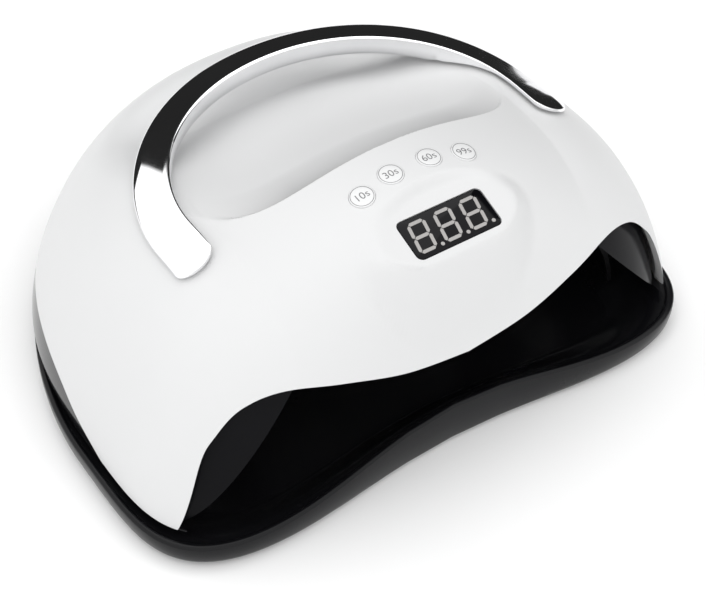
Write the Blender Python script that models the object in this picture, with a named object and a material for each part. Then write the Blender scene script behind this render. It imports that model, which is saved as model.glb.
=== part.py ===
"""A desk-top UV and LED curing lamp with a carry handle and a lift-off base tray.

Frame: metres, +Z up. The origin is on the surface that the lamp stands on, under the middle of its
bounding box. The hand opening faces -Y, and +X is to the right of someone who faces the opening.
"""

import math

import bmesh
import bpy
from mathutils import Matrix, Vector

# Outer dome of the shell: plan outline, then its profile from the rim to the crown.
SHELL_HALF_WIDTH = 0.1162
SHELL_CENTRE_Y = -0.0352
SHELL_FRONT = 0.0719
SHELL_REAR = 0.1288
SHELL_SQUARE_FRONT = 4.36
SHELL_SQUARE_REAR = 2.32
SHELL_SQUARE_TOP = 2.15
DOME_START_Z = 0.0130
DOME_HEIGHT = 0.0842
DOME_SIDE_POWER = 4.93
DOME_FRONT_POWER = 4.43
DOME_RISE_POWER = 0.71
CROWN_SHIFT_Y = -0.0076
DOME_SHOULDER = 0.62
SHELL_WALL = 0.0022

# Raised control hood, with a lip at its back edge.
HOOD_HEIGHT = 0.0138
HOOD_HALF_WIDTH = 0.0620
HOOD_CROWN_POWER = 1.2
LIP_Y = -0.0516
LIP_SWEEP = 0.0155
TROUGH_DEPTH = 0.0065
TROUGH_WIDTH = 0.0150
RELIEF_LEVELS = (0.50, 0.95)
PAD_LEVELS = (0.52, 0.72)

# Deck behind the lip: it falls to a hollow that leaves room for fingers under the handle, then rises again.
HOLLOW_DEPTH = 0.0160
HOLLOW_LOW_Y = 0.0250
HOLLOW_END_Y = 0.0600
HOLLOW_HALF_WIDTH = 0.0760
HOLLOW_ONSET = 1.6

# Arched front edge of the shell, as heights at distances from the middle.
ARCH_EDGE = (
    (0.0000, 0.0538),
    (0.0240, 0.0567),
    (0.0480, 0.0626),
    (0.0680, 0.0654),
    (0.0820, 0.0615),
    (0.0920, 0.0523),
    (0.0990, 0.0409),
    (0.1089, 0.0130),
)
ARCH_BACK_Y = -0.0520

# Lower edge of the shell along its side and back, as heights at distances along Y.
SIDE_EDGE = (
    (-0.0490, 0.0128),
    (-0.0290, 0.0186),
    (-0.0130, 0.0243),
    (0.0050, 0.0272),
    (0.0300, 0.0280),
    (0.1100, 0.0280),
)

# Hand opening in the front bezel, the skirt and the reflector.
OPENING_TOP_Z = 0.0620
OPENING_TOP_HALF = 0.0644
OPENING_LOW_Z = 0.0100
OPENING_LOW_HALF = 0.1081
OPENING_BACK_Y = -0.0640

# Display and control panel.
PANEL_TILT = math.radians(17.6)
DISPLAY_Y = -0.0885
DISPLAY_Z = 0.1016
DISPLAY_WIDTH = 0.0339
DISPLAY_LENGTH = 0.0155
DISPLAY_CORNER = 0.0022
PAD_HALF_WIDTH = 0.0260
PAD_HALF_LENGTH = 0.0125
PAD_EDGE = 1.35
BUTTON_RADIUS = 0.0043
BUTTON_SPOTS = ((-0.0208, -0.0676), (-0.0078, -0.0653), (0.0078, -0.0653), (0.0208, -0.0676))
BUTTON_PROUD = 0.0003
BUTTON_FLANGE = 0.0010
BUTTON_TRAVEL = 0.0008
SWITCH_GAP = 0.0011
BOARD_DROP = 0.0110
BOARD_THICK = 0.0016

# Base tray.
TRAY_HALF_WIDTH = 0.1200
TRAY_FRONT = 0.0752
TRAY_REAR = 0.1398
TRAY_SQUARE_FRONT = 4.62
TRAY_SQUARE_REAR = 1.92
WAIST_DEPTH = 0.0116
WAIST_WIDTH = 0.0712
TRAY_BOTTOM_Z = 0.0015
TRAY_RIM_Z = 0.0105
TRAY_CROWN = 0.0100
TRAY_CROWN_WIDTH = 0.0550
TRAY_FLOOR_Z = 0.0050

# Tray section from its lower edge to its floor: inset, height, and share of the front crown.
TRAY_SECTION = (
    (0.0022, TRAY_BOTTOM_Z, 0.0),
    (0.0006, TRAY_BOTTOM_Z + 0.0016, 0.0),
    (0.0000, TRAY_RIM_Z - 0.0010, 1.0),
    (0.0010, TRAY_RIM_Z, 1.0),
    (0.0036, TRAY_RIM_Z - 0.0012, 1.0),
    (0.0110, TRAY_FLOOR_Z + 0.0012, 0.2),
    (0.0180, TRAY_FLOOR_Z, 0.0),
)

# Black skirt between the tray and the shell.
SKIRT_BOTTOM_Z = 0.0115
SKIRT_TOP_Z = 0.0127

# Handle: a horseshoe strap over the hollow.
HANDLE_CENTRE_Y = -0.0355
HANDLE_OUTER = (0.0817, 0.0716)
HANDLE_INNER = (0.0679, 0.0601)
HANDLE_LEG = 0.0120
HANDLE_THICK = 0.0080
HANDLE_LIFT = (0.0026, 0.0036)

GAP = 0.0003
CUT_REACH = 0.140
CUT_FLOOR_Z = -0.010
ROUND_SIDES = 24

# Screws, bosses and magnets.
SCREW_RADIUS = 0.0013
SCREW_HOLE_RADIUS = 0.0016
SCREW_HEAD_RADIUS = 0.0026
SCREW_HEAD_HEIGHT = 0.0011
BOSS_RADIUS = 0.0038
BOSS_BOTTOM_Z = 0.0130
BOSS_HOLE_TOP_Z = 0.0260
BOSS_SPOTS = (
    (-0.1080, -0.0500, 0.0335),
    (0.1080, -0.0500, 0.0335),
    (-0.0795, 0.0465, 0.0478),
    (0.0795, 0.0465, 0.0478),
)
MAGNET_SPOTS = ((-0.1050, -0.0180), (0.1050, -0.0180), (-0.0500, 0.0680), (0.0500, 0.0680))
MAGNET_RADIUS = 0.0040
MAGNET_HEIGHTS = (0.0130, 0.0150)
CATCH_HEIGHTS = (0.0094, 0.0106)
SEAT_RADIUS = 0.0052
SEAT_TOP_Z = 0.0091
FOOT_SPOTS = ((-0.0950, -0.0800), (0.0950, -0.0800), (-0.0620, 0.0700), (0.0620, 0.0700))
FOOT_RADIUS = 0.0070

# Front bezel and skirt walls.
BEZEL_INSET = 0.0037
BEZEL_THICK = 0.0026
BEZEL_TOP_LEVEL = 0.80
BEZEL_TOP_Z = 0.0665
BEZEL_BACK_Y = -0.0700
SKIRT_INSET = 0.0010
SKIRT_FLANGE_INSET = 0.0210
WALL_THICK = 0.0024
WALL_TOP_LEVEL = 0.25

# Reflector and its light boards.
LINER_HALF_WIDTH = 0.0975
LINER_FRONT = 0.0600
LINER_REAR = 0.0920
LINER_BOTTOM_Z = 0.0130
LINER_TOP_Z = 0.0640
LINER_WALL = 0.0016
LINER_SIDE_POWER = 6.0
LINER_SQUARE_FRONT = 4.4
LINER_SQUARE_REAR = 3.2
LINER_RISE_POWER = 0.7
LINER_MOUTH_Z = 0.0570
LINER_MOUTH_HALF = 0.0700
LINER_FRONT_CUT_Y = -0.0740
LED_BOARD_THICK = 0.0012
ROOF_BOARD_SIZE = (0.096, 0.054)
SIDE_BOARD_SIZE = (0.015, 0.060)
LED_RADIUS = 0.0025
LED_HEIGHT = 0.0016
LED_TIP_RADIUS = 0.0018
LED_SIDES = 8
ROOF_BOARD_Y = -0.0200
ROOF_BOARD_Z = 0.0560
SIDE_BOARD_X = 0.0790
SIDE_BOARD_Y = -0.0300
SIDE_BOARD_Z = 0.0360
SIDE_BOARD_LEAN = math.radians(38)
REAR_BOARD_Y = 0.0394
SENSOR_X = 0.0080
SENSOR_Y = -0.0620
SENSOR_Z = 0.0570

# Control electronics.
BUTTON_NAMES = ("button_10s", "button_30s", "button_60s", "button_99s")
BUTTON_DEPTH = 0.0042
WINDOW_THICK = 0.0014
WINDOW_SUNK = 0.0001
HOLE_REACH = 0.0075
MODULE_WIDTH = 0.0305
MODULE_LENGTH = 0.0136
BOARD_WIDTH = 0.0600
BOARD_LENGTH = 0.0330
BOARD_FORWARD = 0.0110

# Power inlet and inner lead.
JACK_Z = 0.0203
JACK_RADIUS = 0.0048
JACK_LENGTH = 0.0130
JACK_PROUD = 0.0008
JACK_BORE_RADIUS = 0.0028
JACK_BORE_DEPTH = 0.0090
JACK_PIN_RADIUS = 0.0009
LEAD_RADIUS = 0.0012
LEAD_ROUTE = (
    (0.0150, 0.0690, 0.0290),
    (0.0420, 0.0570, 0.0460),
    (0.0640, 0.0300, 0.0580),
    (0.0720, -0.0050, 0.0650),
    (0.0600, -0.0400, 0.0720),
    (0.0380, -0.0600, 0.0790),
    (0.0240, -0.0680, 0.0860),
)

# Handle details.
STRAP_LEG_SHARE = 0.10
STRAP_CROWN = 0.0001
STRAP_TILT = (1.00, 0.60)
STRAP_STEPS = 26
STRAP_CLEARANCE = 0.0015
FOOT_REACH = 0.045
FOOT_STEPS = (0.97, 0.80, 0.50)
STUD_X = 0.0748
STUD_Y = -0.0420
STUD_RADIUS = 0.0030
STUD_LENGTH = 0.0090
STUD_RISE = 0.0006
STUD_CAP = 0.0040
HANDLE_SCREW_HEAD = 0.0036
HANDLE_SCREW_LENGTH = 0.0040

SHELL_SIDES = 64
DOME_STEPS = 60
TRAY_SIDES = 64
LINER_SIDES = 36


def clear_scene():
    for old in list(bpy.data.objects):
        bpy.data.objects.remove(old, do_unlink=True)


def smoothstep(low, high, value):
    ratio = min(max((value - low) / (high - low), 0.0), 1.0)
    return ratio * ratio * (3.0 - 2.0 * ratio)


def signed_power(value, power):
    return math.copysign(abs(value) ** power, value)


def material(name, colour, roughness, metallic=0.0, alpha=1.0):
    made = bpy.data.materials.new(name)
    made.use_nodes = True
    shader = made.node_tree.nodes["Principled BSDF"]
    shader.inputs["Base Color"].default_value = (*colour, 1.0)
    shader.inputs["Roughness"].default_value = roughness
    shader.inputs["Metallic"].default_value = metallic
    shader.inputs["Alpha"].default_value = alpha
    return made


def new_object(name, mesh_data, mat=None, smooth=True):
    mesh_data.normal_update()
    mesh = bpy.data.meshes.new(name)
    mesh_data.to_mesh(mesh)
    mesh_data.free()
    if mat:
        mesh.materials.append(mat)
    if smooth:
        mesh.shade_smooth()
        mesh.set_sharp_from_angle(angle=math.radians(35))
    made = bpy.data.objects.new(name, mesh)
    bpy.context.scene.collection.objects.link(made)
    return made


def outward(mesh_data):
    bmesh.ops.recalc_face_normals(mesh_data, faces=mesh_data.faces)
    return mesh_data


def rings_mesh(rings, first_cap=None, last_cap=None):
    """A closed skin over rings of equal length.

    A cap is a pole point, or None to close the two ends on each other.
    """
    made = bmesh.new()
    rows = [[made.verts.new(point) for point in ring] for ring in rings]
    pairs = list(zip(rows, rows[1:]))
    if first_cap is None:
        pairs.append((rows[-1], rows[0]))
    count = len(rows[0])
    for lower, upper in pairs:
        for i in range(count):
            j = (i + 1) % count
            made.faces.new((lower[i], lower[j], upper[j], upper[i]))
    for row, pole in ((rows[0], first_cap), (rows[-1], last_cap)):
        if pole is None:
            continue
        tip = made.verts.new(pole)
        for i in range(count):
            made.faces.new((row[i], row[(i + 1) % count], tip))
    return outward(made)


def prism_mesh(outline, low, high, axis="Z"):
    """An outline of (a, b) points pushed from low to high along Z, Y or X."""
    made = bmesh.new()
    ends = []
    for level in (low, high):
        if axis == "Z":
            ends.append([made.verts.new((a, b, level)) for a, b in outline])
        elif axis == "Y":
            ends.append([made.verts.new((a, level, b)) for a, b in outline])
        else:
            ends.append([made.verts.new((level, a, b)) for a, b in outline])
    count = len(outline)
    for i in range(count):
        j = (i + 1) % count
        made.faces.new((ends[0][i], ends[0][j], ends[1][j], ends[1][i]))
    made.faces.new(ends[0])
    made.faces.new(ends[1])
    return outward(made)


def circle(radius, sides=ROUND_SIDES, centre=(0.0, 0.0)):
    steps = [2.0 * math.pi * i / sides for i in range(sides)]
    return [(centre[0] + radius * math.cos(a), centre[1] + radius * math.sin(a)) for a in steps]


def rounded_rectangle(width, length, corner, steps=4):
    points = []
    for quarter in range(4):
        middle = math.radians(45 + 90 * quarter)
        centre_x = math.copysign(width / 2 - corner, math.cos(middle))
        centre_y = math.copysign(length / 2 - corner, math.sin(middle))
        for step in range(steps + 1):
            angle = math.radians(90 * quarter + 90 * step / steps)
            points.append((centre_x + corner * math.cos(angle), centre_y + corner * math.sin(angle)))
    return points


def turned_mesh(profile, sides=ROUND_SIDES):
    """A solid turned about Z from (radius, height) points, given bottom to top, with both ends closed."""
    rings = [[(x, y, height) for x, y in circle(radius, sides)] for radius, height in profile]
    low = (0.0, 0.0, profile[0][1])
    high = (0.0, 0.0, profile[-1][1])
    return rings_mesh(rings, low, high)


def cutter(name, mesh_data):
    made = new_object(name, mesh_data, smooth=False)
    made.hide_render = True
    made.display_type = "WIRE"
    return made


def boolean(target, tool, operation="DIFFERENCE"):
    modifier = target.modifiers.new(operation.title() + " " + tool.name, "BOOLEAN")
    modifier.operation = operation
    modifier.solver = "EXACT"
    modifier.object = tool


# ---------------------------------------------------------------- shell surface


def shell_outline(angle, level, inset):
    """Plan point of the dome at a level from 0 at its rim to 1 at its crown."""
    across, along = math.cos(angle), math.sin(angle)
    front = max(0.0, -along)
    power = DOME_SIDE_POWER + (DOME_FRONT_POWER - DOME_SIDE_POWER) * front**2
    shrink = (1.0 - level ** (1.0 / DOME_RISE_POWER)) ** (1.0 / power)
    square = SHELL_SQUARE_FRONT if along < 0 else SHELL_SQUARE_REAR
    square += (SHELL_SQUARE_TOP - square) * level
    depth = SHELL_FRONT if along < 0 else SHELL_REAR
    x = shrink * (SHELL_HALF_WIDTH - inset) * signed_power(across, 2.0 / square)
    y = SHELL_CENTRE_Y + CROWN_SHIFT_Y * level
    y += shrink * (depth - inset) * signed_power(along, 2.0 / square)
    return x, y


def deck_share(x, y):
    """How far a point lies from the lip, at 0 or less, to the lowest line of the hollow, at 1."""
    lip = LIP_Y + LIP_SWEEP * (abs(x) / HOOD_HALF_WIDTH) ** 6
    return (y - lip) / (HOLLOW_LOW_Y - lip), y - lip


def hood_relief(x, y):
    share, behind = deck_share(x, y)
    crown = max(0.0, 1.0 - (x / HOOD_HALF_WIDTH) ** 2) ** HOOD_CROWN_POWER
    height = HOOD_HEIGHT * (1.0 - min(max(share, 0.0), 1.0))
    if behind > 0.0:
        height -= TROUGH_DEPTH * max(0.0, 1.0 - behind / TROUGH_WIDTH) ** 2
    return height * crown


def hollow_relief(x, y):
    share = min(max(deck_share(x, y)[0], 0.0), 1.0)
    fall = 1.0 - (1.0 - share) ** HOLLOW_ONSET
    across = smoothstep(1.0, 0.15, (x / HOLLOW_HALF_WIDTH) ** 2)
    return HOLLOW_DEPTH * fall * across * smoothstep(HOLLOW_END_Y, HOLLOW_LOW_Y, y)


def panel_height(y):
    return DISPLAY_Z + math.tan(PANEL_TILT) * (y - DISPLAY_Y)


def shell_surface_z(x, y, level, inset):
    z = DOME_START_Z + (DOME_HEIGHT - inset) * level
    z += (hood_relief(x, y) - hollow_relief(x, y)) * smoothstep(*RELIEF_LEVELS, level)
    pad_reach = math.hypot(x / PAD_HALF_WIDTH, (y - DISPLAY_Y) / PAD_HALF_LENGTH)
    pad = smoothstep(PAD_EDGE, 1.0, pad_reach) * smoothstep(*PAD_LEVELS, level)
    return z + (panel_height(y) - inset - z) * pad


def shell_point(angle, level, inset=0.0):
    x, y = shell_outline(angle, level, inset)
    return Vector((x, y, shell_surface_z(x, y, level, inset)))


def dome_level(x, y):
    """The level of the plain dome above a plan point, found by stepping."""
    level = 0.6
    for _ in range(DOME_STEPS):
        forward = y - SHELL_CENTRE_Y - CROWN_SHIFT_Y * level
        square = SHELL_SQUARE_FRONT if forward < 0 else SHELL_SQUARE_REAR
        square += (SHELL_SQUARE_TOP - square) * level
        depth = SHELL_FRONT if forward < 0 else SHELL_REAR
        reach_x = (abs(x) / SHELL_HALF_WIDTH) ** square
        reach_y = (abs(forward) / depth) ** square
        shrink = min((reach_x + reach_y) ** (1.0 / square), 1.0)
        front = max(0.0, -signed_power(forward / depth / max(shrink, 1e-6), square / 2.0))
        power = DOME_SIDE_POWER + (DOME_FRONT_POWER - DOME_SIDE_POWER) * front**2
        level += 0.3 * ((1.0 - shrink**power) ** DOME_RISE_POWER - level)
    return level


def roof_height(x, y):
    return shell_surface_z(x, y, dome_level(x, y), 0.0)


def roof_normal(x, y):
    step = 0.0015
    slope_x = (roof_height(x + step, y) - roof_height(x - step, y)) / (2 * step)
    slope_y = (roof_height(x, y + step) - roof_height(x, y - step)) / (2 * step)
    return Vector((-slope_x, -slope_y, 1.0)).normalized()


def dome_levels(side_rings, top_rings):
    """Levels from the rim to just under the crown, close to evenly spaced along the dome."""
    levels = [DOME_SHOULDER * i / side_rings for i in range(side_rings)]
    edge = (1.0 - DOME_SHOULDER ** (1.0 / DOME_RISE_POWER)) ** (1.0 / DOME_SIDE_POWER)
    for i in range(top_rings):
        shrink = edge * (1.0 - i / top_rings)
        levels.append((1.0 - shrink**DOME_SIDE_POWER) ** DOME_RISE_POWER)
    return levels


def dome_rings(levels, inset, sides):
    angles = [2.0 * math.pi * i / sides for i in range(sides)]
    return [[shell_point(angle, level, inset) for angle in angles] for level in levels]


def crown_point(inset):
    y = SHELL_CENTRE_Y + CROWN_SHIFT_Y
    return Vector((0.0, y, shell_surface_z(0.0, y, 1.0, inset)))


# ---------------------------------------------------------------- cutters


def smooth_through(points, steps):
    """Points along a Catmull-Rom curve through the given ones."""
    ends = [points[0], *points, points[-1]]
    curve = []
    for a, b, c, d in zip(ends, ends[1:], ends[2:], ends[3:]):
        for i in range(steps):
            t = i / steps
            weights = (
                -0.5 * t + t**2 - 0.5 * t**3,
                1.0 - 2.5 * t**2 + 1.5 * t**3,
                0.5 * t + 2.0 * t**2 - 1.5 * t**3,
                -0.5 * t**2 + 0.5 * t**3,
            )
            curve.append(tuple(sum(w * p[k] for w, p in zip(weights, (a, b, c, d))) for k in (0, 1)))
    curve.append(points[-1])
    return curve


def arch_cutter():
    half = smooth_through(ARCH_EDGE, 2)
    foot = (ARCH_EDGE[-1][0] + 0.002, CUT_FLOOR_Z)
    right = [*half, foot]
    left = [(-x, z) for x, z in right[:0:-1]]
    return cutter("arch_cutter", prism_mesh(left + right, -CUT_REACH, ARCH_BACK_Y, axis="Y"))


def side_edge_cutter(name, drop):
    """Everything below the shell's side and back edge, lowered by the drop."""
    curve = [(y, z - drop) for y, z in smooth_through(SIDE_EDGE, 2)]
    outline = [(SIDE_EDGE[0][0], CUT_FLOOR_Z), *curve, (SIDE_EDGE[-1][0], CUT_FLOOR_Z)]
    return cutter(name, prism_mesh(outline, -CUT_REACH, CUT_REACH, axis="X"))


def opening_cutter():
    slope = (OPENING_LOW_HALF - OPENING_TOP_HALF) / (OPENING_TOP_Z - OPENING_LOW_Z)
    low_half = OPENING_LOW_HALF + slope * (OPENING_LOW_Z - CUT_FLOOR_Z)
    outline = [
        (-low_half, CUT_FLOOR_Z),
        (low_half, CUT_FLOOR_Z),
        (OPENING_TOP_HALF, OPENING_TOP_Z),
        (-OPENING_TOP_HALF, OPENING_TOP_Z),
    ]
    return cutter("opening_cutter", prism_mesh(outline, -CUT_REACH, OPENING_BACK_Y, axis="Y"))


def liner_cutter():
    outline = [
        (-OPENING_LOW_HALF, 0.0),
        (OPENING_LOW_HALF, 0.0),
        (OPENING_LOW_HALF, OPENING_LOW_Z),
        (LINER_MOUTH_HALF, LINER_MOUTH_Z),
        (-LINER_MOUTH_HALF, LINER_MOUTH_Z),
        (-OPENING_LOW_HALF, OPENING_LOW_Z),
    ]
    return cutter("liner_cutter", prism_mesh(outline, -CUT_REACH, LINER_FRONT_CUT_Y, axis="Y"))


# ---------------------------------------------------------------- shell, bezel, skirt, tray


def make_top_shell(mat):
    outer = dome_rings(dome_levels(6, 22), 0.0, SHELL_SIDES)
    inner = dome_rings(dome_levels(4, 11), SHELL_WALL, SHELL_SIDES)
    made = rings_mesh([*reversed(inner), *outer], crown_point(SHELL_WALL), crown_point(0.0))
    shell = new_object("top_shell", made, mat)
    boolean(shell, side_edge_cutter("shell_edge_cutter", 0.0))
    return shell


def add_shell_bosses(shell):
    for index, (x, y, top) in enumerate(BOSS_SPOTS):
        bore = circle(SCREW_HOLE_RADIUS, 12)
        profile = [(BOSS_RADIUS, BOSS_BOTTOM_Z), (BOSS_RADIUS, top)]
        post = cutter(f"boss_{index + 1}", turned_mesh(profile, 16))
        post.location = (x, y, 0.0)
        boolean(shell, post, "UNION")
        hole = cutter(f"boss_hole_{index + 1}", prism_mesh(bore, BOSS_BOTTOM_Z - 0.001, BOSS_HOLE_TOP_Z))
        hole.location = (x, y, 0.0)
        boolean(shell, hole)


def make_front_bezel(mat, opening):
    levels = [BEZEL_TOP_LEVEL * i / 8 for i in range(9)]
    outer = dome_rings(levels, BEZEL_INSET, SHELL_SIDES)
    inner = dome_rings(levels, BEZEL_INSET + BEZEL_THICK, SHELL_SIDES)
    made = new_object("front_bezel", rings_mesh([*outer, *reversed(inner)]), mat)
    reach = CUT_REACH
    keep = [(-reach, -reach), (reach, -reach), (reach, BEZEL_BACK_Y), (-reach, BEZEL_BACK_Y)]
    front_half = cutter("bezel_keep", prism_mesh(keep, 0.0, BEZEL_TOP_Z))
    boolean(made, front_half, "INTERSECT")
    boolean(made, opening)
    return made


def skirt_ring(inset, z):
    angles = [2.0 * math.pi * i / SHELL_SIDES for i in range(SHELL_SIDES)]
    return [Vector((*shell_outline(angle, 0.0, inset), z)) for angle in angles]


def housing_wall():
    """The wall that carries the shell's curve on below its side and back edge."""
    levels = [WALL_TOP_LEVEL * i / 5 for i in range(6)]
    outer = dome_rings(levels, GAP, SHELL_SIDES)
    inner = dome_rings(levels, WALL_THICK, SHELL_SIDES)
    start = (SKIRT_BOTTOM_Z + SKIRT_TOP_Z) / 2
    rings = [skirt_ring(GAP, start), *outer, *reversed(inner), skirt_ring(WALL_THICK, start)]
    wall = cutter("housing_wall", rings_mesh(rings))
    boolean(wall, side_edge_cutter("wall_edge_cutter", GAP), "INTERSECT")
    return wall


def make_lower_housing(mat, opening):
    section = (
        (SKIRT_INSET, SKIRT_BOTTOM_Z),
        (SKIRT_INSET, SKIRT_TOP_Z),
        (SKIRT_FLANGE_INSET, SKIRT_TOP_Z),
        (SKIRT_FLANGE_INSET, SKIRT_BOTTOM_Z),
    )
    made = new_object("lower_housing", rings_mesh([skirt_ring(*step) for step in section]), mat)
    boolean(made, housing_wall(), "UNION")
    boolean(made, opening)
    for index, (x, y, _) in enumerate(BOSS_SPOTS):
        bore = circle(SCREW_HOLE_RADIUS, 12)
        hole = cutter(f"flange_hole_{index + 1}", prism_mesh(bore, 0.0, SKIRT_TOP_Z + GAP))
        hole.location = (x, y, 0.0)
        boolean(made, hole)
    return made


def tray_outline(angle, inset):
    across, along = math.cos(angle), math.sin(angle)
    square = TRAY_SQUARE_FRONT if along < 0 else TRAY_SQUARE_REAR
    depth = TRAY_FRONT if along < 0 else TRAY_REAR
    x = (TRAY_HALF_WIDTH - inset) * signed_power(across, 2.0 / square)
    y = SHELL_CENTRE_Y + (depth - inset) * signed_power(along, 2.0 / square)
    if along < 0:
        y += WAIST_DEPTH * math.exp(-((x / WAIST_WIDTH) ** 2))
    return x, y


def tray_crown(angle, x):
    return TRAY_CROWN * math.exp(-((x / TRAY_CROWN_WIDTH) ** 2)) if math.sin(angle) < 0 else 0.0


def make_base_tray(mat):
    rings = []
    for inset, z, crown_share in TRAY_SECTION:
        ring = []
        for i in range(TRAY_SIDES):
            angle = 2.0 * math.pi * i / TRAY_SIDES
            x, y = tray_outline(angle, inset)
            ring.append(Vector((x, y, z + crown_share * tray_crown(angle, x))))
        rings.append(ring)
    low = Vector((0.0, 0.0, TRAY_BOTTOM_Z))
    high = Vector((0.0, 0.0, TRAY_FLOOR_Z))
    made = new_object("base_tray", rings_mesh(rings, low, high), mat)
    for index, (x, y) in enumerate(MAGNET_SPOTS):
        seat = turned_mesh([(SEAT_RADIUS, TRAY_BOTTOM_Z + 0.001), (SEAT_RADIUS, SEAT_TOP_Z)], 16)
        post = cutter(f"tray_seat_{index + 1}", seat)
        post.location = (x, y, 0.0)
        boolean(made, post, "UNION")
    return made


def make_discs(prefix, spots, radius, low, high, mat, sides=16):
    profile = [(radius, low), (radius, high)]
    for index, (x, y) in enumerate(spots):
        made = new_object(f"{prefix}_{index + 1}", turned_mesh(profile, sides), mat)
        made.location = (x, y, 0.0)


def make_housing_screws(mat):
    profile = [
        (SCREW_HEAD_RADIUS, SKIRT_BOTTOM_Z - GAP - SCREW_HEAD_HEIGHT),
        (SCREW_HEAD_RADIUS, SKIRT_BOTTOM_Z - GAP),
        (SCREW_RADIUS, SKIRT_BOTTOM_Z - GAP),
        (SCREW_RADIUS, BOSS_HOLE_TOP_Z - 0.001),
    ]
    for index, (x, y, _) in enumerate(BOSS_SPOTS):
        made = new_object(f"housing_screw_{index + 1}", turned_mesh(profile, 12), mat)
        made.location = (x, y, 0.0)


# ---------------------------------------------------------------- reflector and light boards


def liner_point(angle, level, inset):
    shrink = (1.0 - level ** (1.0 / LINER_RISE_POWER)) ** (1.0 / LINER_SIDE_POWER)
    across, along = math.cos(angle), math.sin(angle)
    depth = LINER_FRONT if along < 0 else LINER_REAR
    square = LINER_SQUARE_FRONT if along < 0 else LINER_SQUARE_REAR
    x = shrink * (LINER_HALF_WIDTH - inset) * signed_power(across, 2.0 / square)
    y = SHELL_CENTRE_Y + shrink * (depth - inset) * signed_power(along, 2.0 / square)
    return Vector((x, y, LINER_BOTTOM_Z + (LINER_TOP_Z - LINER_BOTTOM_Z - inset) * level))


def make_reflector(mat):
    steps = 7
    angles = [2.0 * math.pi * i / LINER_SIDES for i in range(LINER_SIDES)]
    levels = [math.sin(0.5 * math.pi * i / steps) ** (2.0 * LINER_RISE_POWER) for i in range(steps)]
    outer = [[liner_point(angle, level, 0.0) for angle in angles] for level in levels]
    inner = [[liner_point(angle, level, LINER_WALL) for angle in angles] for level in levels]
    inner_top = liner_point(0.0, 1.0, LINER_WALL)
    outer_top = liner_point(0.0, 1.0, 0.0)
    made = new_object("reflector", rings_mesh([*reversed(inner), *outer], inner_top, outer_top), mat)
    boolean(made, liner_cutter())
    return made


def led_bumps(spots):
    """Small tapered lenses standing on the +Z side of a board."""
    made = bmesh.new()
    for x, y in spots:
        rows = []
        section = ((LED_RADIUS, LED_BOARD_THICK / 2), (LED_TIP_RADIUS, LED_BOARD_THICK + LED_HEIGHT))
        for radius, height in section:
            rows.append([made.verts.new((a, b, height)) for a, b in circle(radius, LED_SIDES, (x, y))])
        for lower, upper in zip(rows, rows[1:]):
            for i in range(LED_SIDES):
                j = (i + 1) % LED_SIDES
                made.faces.new((lower[i], lower[j], upper[j], upper[i]))
        made.faces.new(rows[0])
        made.faces.new(rows[-1])
    return outward(made)


def make_led_board(name, width, length, columns, rows, matrix, mat):
    """A board whose lenses point along its own +Z."""
    outline = rounded_rectangle(width, length, 0.002, steps=2)
    made = new_object(name, prism_mesh(outline, 0.0, LED_BOARD_THICK), mat, smooth=False)
    spots = []
    for column in range(columns):
        for row in range(rows):
            x = width * ((column + 0.5) / columns - 0.5)
            y = length * ((row + 0.5) / rows - 0.5)
            spots.append((x, y))
    lenses = cutter(name + "_lenses", led_bumps(spots))
    made.matrix_world = matrix
    lenses.matrix_world = matrix
    boolean(made, lenses, "UNION")
    return made


def make_led_boards(mat):
    down = Matrix.Rotation(math.pi, 4, "X")
    roof = Matrix.Translation((0.0, ROOF_BOARD_Y, ROOF_BOARD_Z)) @ down
    make_led_board("led_board_roof", *ROOF_BOARD_SIZE, 5, 3, roof, mat)
    for name, side in (("led_board_left", -1.0), ("led_board_right", 1.0)):
        lean = Matrix.Rotation(side * -(math.pi / 2 + SIDE_BOARD_LEAN), 4, "Y")
        place = Matrix.Translation((side * SIDE_BOARD_X, SIDE_BOARD_Y, SIDE_BOARD_Z))
        make_led_board(name, *SIDE_BOARD_SIZE, 1, 5, place @ lean, mat)
    lean = Matrix.Rotation(math.pi / 2 + SIDE_BOARD_LEAN, 4, "X")
    place = Matrix.Translation((0.0, REAR_BOARD_Y, SIDE_BOARD_Z))
    make_led_board("led_board_rear", *reversed(SIDE_BOARD_SIZE), 5, 1, place @ lean, mat)


def make_sensors(mat):
    profile = [(0.0024, -0.0030), (0.0030, -0.0014), (0.0030, 0.0)]
    for name, side in (("sensor_emitter", -1.0), ("sensor_receiver", 1.0)):
        made = new_object(name, turned_mesh(profile, 16), mat)
        made.location = (side * SENSOR_X, SENSOR_Y, SENSOR_Z)


# ---------------------------------------------------------------- control panel


def panel_matrix():
    return Matrix.Translation((0.0, DISPLAY_Y, DISPLAY_Z)) @ Matrix.Rotation(PANEL_TILT, 4, "X")


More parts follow.
